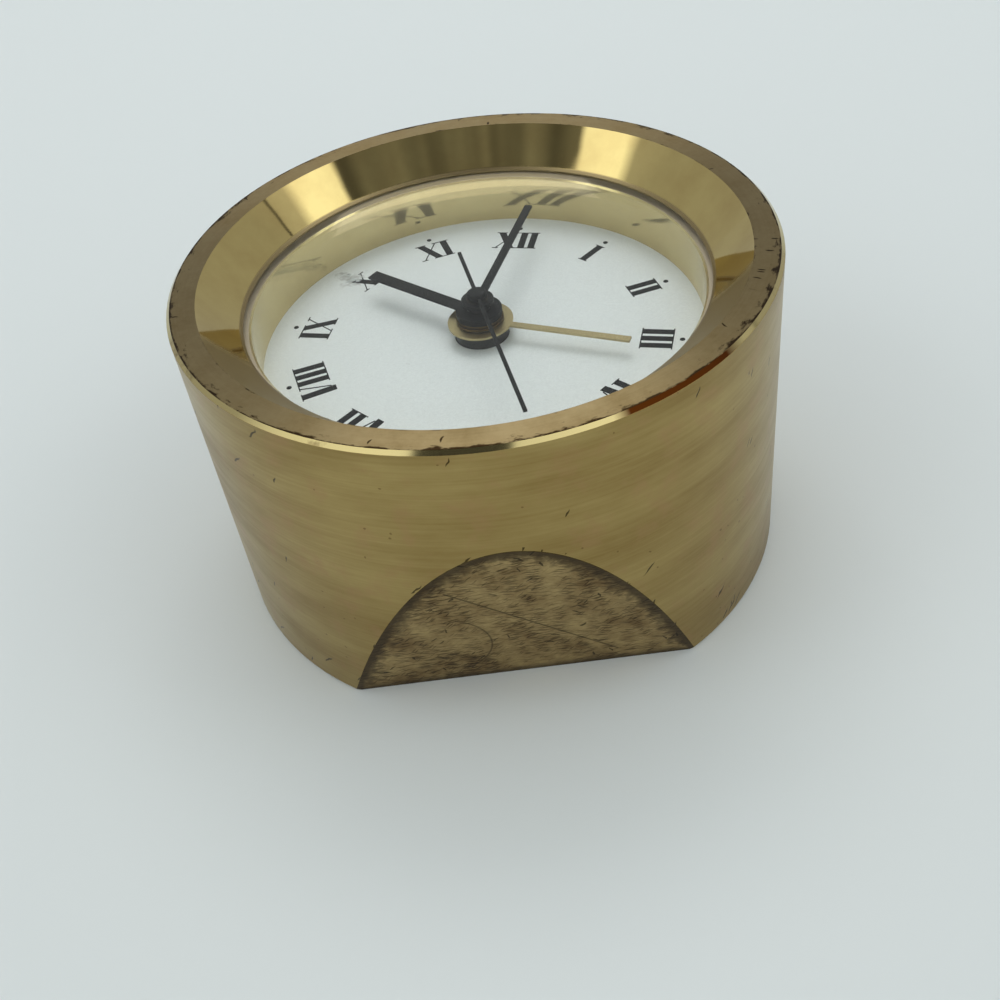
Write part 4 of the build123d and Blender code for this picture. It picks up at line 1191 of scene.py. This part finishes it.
@dataclass
class Studio:
    """The pale floor, soft lamp, room and camera.

    In the room a rise is the sine of the angle above the floor, and a front is one toward the
    camera's side and minus one away from it.
    """

    eye: Triple = (0.00374, -0.13658, 0.12714)
    aim: Triple = (-0.00058, -0.01330, 0.01394)
    roll: float = -0.1508
    lens_mm: float = 43.0
    nearest: float = 0.01
    floor_hex: str = "#DFE4E4"
    floor_half: float = 1.2
    floor_grain: Cloud = Cloud(1.111, 3.0, levels=(0.85, 0.95))
    lamp_spot: Triple = (0.0, 0.42, 0.75)
    lamp_size: Pair = (0.5, 0.3)
    lamp_power: float = 1.05
    room_hex: str = "#F3F8F8"
    wall_light: float = 0.57
    roof_light: float = 1.1
    roof_rise: Pair = (0.6, 0.95)
    seam_angle: float = 16.0
    seam_fade: Fade = ((0.005, 0.010), (0.2, 1.0))
    fore_fade: Fade = ((-0.006, 0.0), (1.25, 1.0))
    back_light: float = 0.27
    back_front: Pair = (-0.96, -0.88)
    back_rise: Edges = (0.28, 0.38, 0.70, 0.78)
    band_light: float = 1.33
    band_climb: Fade = ((0.55, 0.72), (0.95, 1.45))
    band_middle: Fade = ((0.1, 0.95), (1.1, 0.75))
    band_front: Pair = (-0.14, -0.05)
    band_rise: Pair = (0.38, 0.53)
    gap_light: float = 0.24
    gap_cloud: float = 3.5
    gap_edges: Pair = (0.3, 0.7)
    gap_shares: Pair = (0.5, 1.3)
    gap_front: Pair = (0.26, 0.31)
    gap_rise: Pair = (0.775, 0.8)
    lens_light: float = 0.09
    lens_angle: float = -103.0
    lens_ahead: Pair = (0.93, 0.95)
    lens_rise: Edges = (0.66, 0.7, 0.80, 0.84)

    def camera(self) -> None:
        """Stand the camera where the photograph was taken."""
        data = bpy.data.cameras.new("camera")
        data.lens = self.lens_mm
        data.clip_start = self.nearest
        eye = bpy.data.objects.new("camera", data)
        bpy.context.scene.collection.objects.link(eye)
        look = (Vector(self.aim) - Vector(self.eye)).to_track_quat("-Z", "Y")
        eye.location = self.eye
        eye.rotation_mode = "QUATERNION"
        eye.rotation_quaternion = look @ Quaternion((0, 0, 1), self.roll)
        bpy.context.scene.camera = eye

    def floor(self) -> None:
        """Lay the pale paper floor."""
        deselect()
        bpy.ops.mesh.primitive_plane_add(size=2 * self.floor_half)
        paper = bpy.context.object
        paper.name = "paper_floor"
        made, add, place = new_material("matt_pale_paper")
        rough = self.floor_grain.draw(add, place)
        inputs = {"Base Color": linear(self.floor_hex), "Roughness": rough}
        add("OutputMaterial", [add("BsdfPrincipled", inputs)])
        paper.data.materials.append(made)

    def lamp(self) -> None:
        """Hang one soft lamp that faces the clock."""
        data = bpy.data.lights.new("top_panel", "AREA")
        data.shape = "RECTANGLE"
        data.size, data.size_y = self.lamp_size
        data.energy = self.lamp_power
        lamp = bpy.data.objects.new("top_panel", data)
        bpy.context.scene.collection.objects.link(lamp)
        lamp.location = self.lamp_spot
        lamp.rotation_mode = "QUATERNION"
        lamp.rotation_quaternion = (-Vector(self.lamp_spot)).to_track_quat("-Z", "Y")

    def lit_walls(self, add: Adder, way: Any, front: Any, rise: Any) -> Any:
        """Light the tent's walls and roof.

        Args:
            add: Adds a node to the room.
            way: The direction from the clock.
            front: How far it points to the camera's side.
            rise: How far it points up.

        Returns:
            The light's strength.
        """
        levels = (self.wall_light, self.roof_light)
        walls = add("MapRange", between(rise, self.roof_rise, levels))
        # A sewn seam runs up the right wall, brighter in front of it; the cone mirrors it.
        turn = math.radians(self.seam_angle)
        side = add("VectorMath:DOT_PRODUCT", [way, (-math.sin(turn), math.cos(turn), 0)], 1)
        off = add("Math:ABSOLUTE", [side])
        for value, fade in ((off, self.seam_fade), (side, self.fore_fade)):
            part = add("MapRange", between(value, *fade))
            walls = add("Math:MULTIPLY", [walls, part])
        # The back wall is darker, so the glass mirrors little of it.
        behind = add("MapRange", between(front, self.back_front, (1.0, 0.0)))
        behind = add("Math:MULTIPLY", [behind, within(add, rise, self.back_rise)])
        walls = add("Mix", {0: behind, 2: walls, 3: self.back_light})
        # A lit band runs round the front half, strongest toward its top and its two ends.
        band = add("MapRange", between(rise, *self.band_climb))
        middle = add("MapRange", between(front, *self.band_middle))
        for part in (self.band_light, middle):
            band = add("Math:MULTIPLY", [band, part])
        lit = add("MapRange", between(front, self.band_front))
        lift = add("MapRange", between(rise, self.band_rise))
        lit = add("Math:MULTIPLY", [lit, lift])
        return add("Mix", {0: lit, 2: walls, 3: band})

    def room(self) -> None:
        """Put up the white tent that the clock stands in, open and dark toward the camera."""
        world = bpy.data.worlds.new("room")
        bpy.context.scene.world = world
        world.use_nodes = True
        world.node_tree.nodes.clear()
        add = partial(add_node, world.node_tree)
        way = add("TexCoord", out="Generated")
        level = add("VectorMath:MULTIPLY", [way, (1, 1, 0)])
        level = add("VectorMath:NORMALIZE", [level])
        front = add("VectorMath:DOT_PRODUCT", [level, (0, -1, 0)], 1)
        rise = add("SeparateXYZ", [way], 2)
        walls = self.lit_walls(add, way, front, rise)
        # Above the band the tent is open and dark, lowest where the camera looks in.
        cloud = add("TexNoise", {"Vector": level, "Scale": self.gap_cloud, "Detail": 1.0})
        levels = [self.gap_light * share for share in self.gap_shares]
        gap = add("MapRange", between(cloud, self.gap_edges, levels))
        wide = add("MapRange", between(front, self.gap_front))
        high = add("MapRange", between(rise, self.gap_rise))
        dark = add("Math:MULTIPLY", [wide, high])
        turn = math.radians(self.lens_angle)
        facing = (math.cos(turn), math.sin(turn), 0)
        ahead = add("VectorMath:DOT_PRODUCT", [level, facing], 1)
        hole = add("MapRange", between(ahead, self.lens_ahead))
        hole = add("Math:MULTIPLY", [hole, within(add, rise, self.lens_rise)])
        dark = add("Math:MAXIMUM", [dark, hole])
        strength = add("Mix", {0: dark, 2: walls, 3: gap})
        strength = add("Mix", {0: hole, 2: strength, 3: self.lens_light})
        sky = {"Color": linear(self.room_hex), "Strength": strength}
        add("OutputWorld", {"Surface": add("Background", sky)})

    def build(self) -> None:
        """Set up camera, floor, lamp and room."""
        bpy.context.scene.view_settings.view_transform = "Standard"
        self.camera()
        self.floor()
        self.lamp()
        self.room()
        LOG.info("studio ready")


def main() -> None:
    """Dress the clock piece by piece and light it."""
    logging.basicConfig(level=logging.INFO)
    Case().dress()
    Window().build()
    dial = Dial()
    dial.dress()
    printed = dial.build()
    Hands().dress()
    Movement().dress()
    Studio().build()
    LOG.info("%d printed pieces", len(printed))


if __name__ == "__main__":
    main()
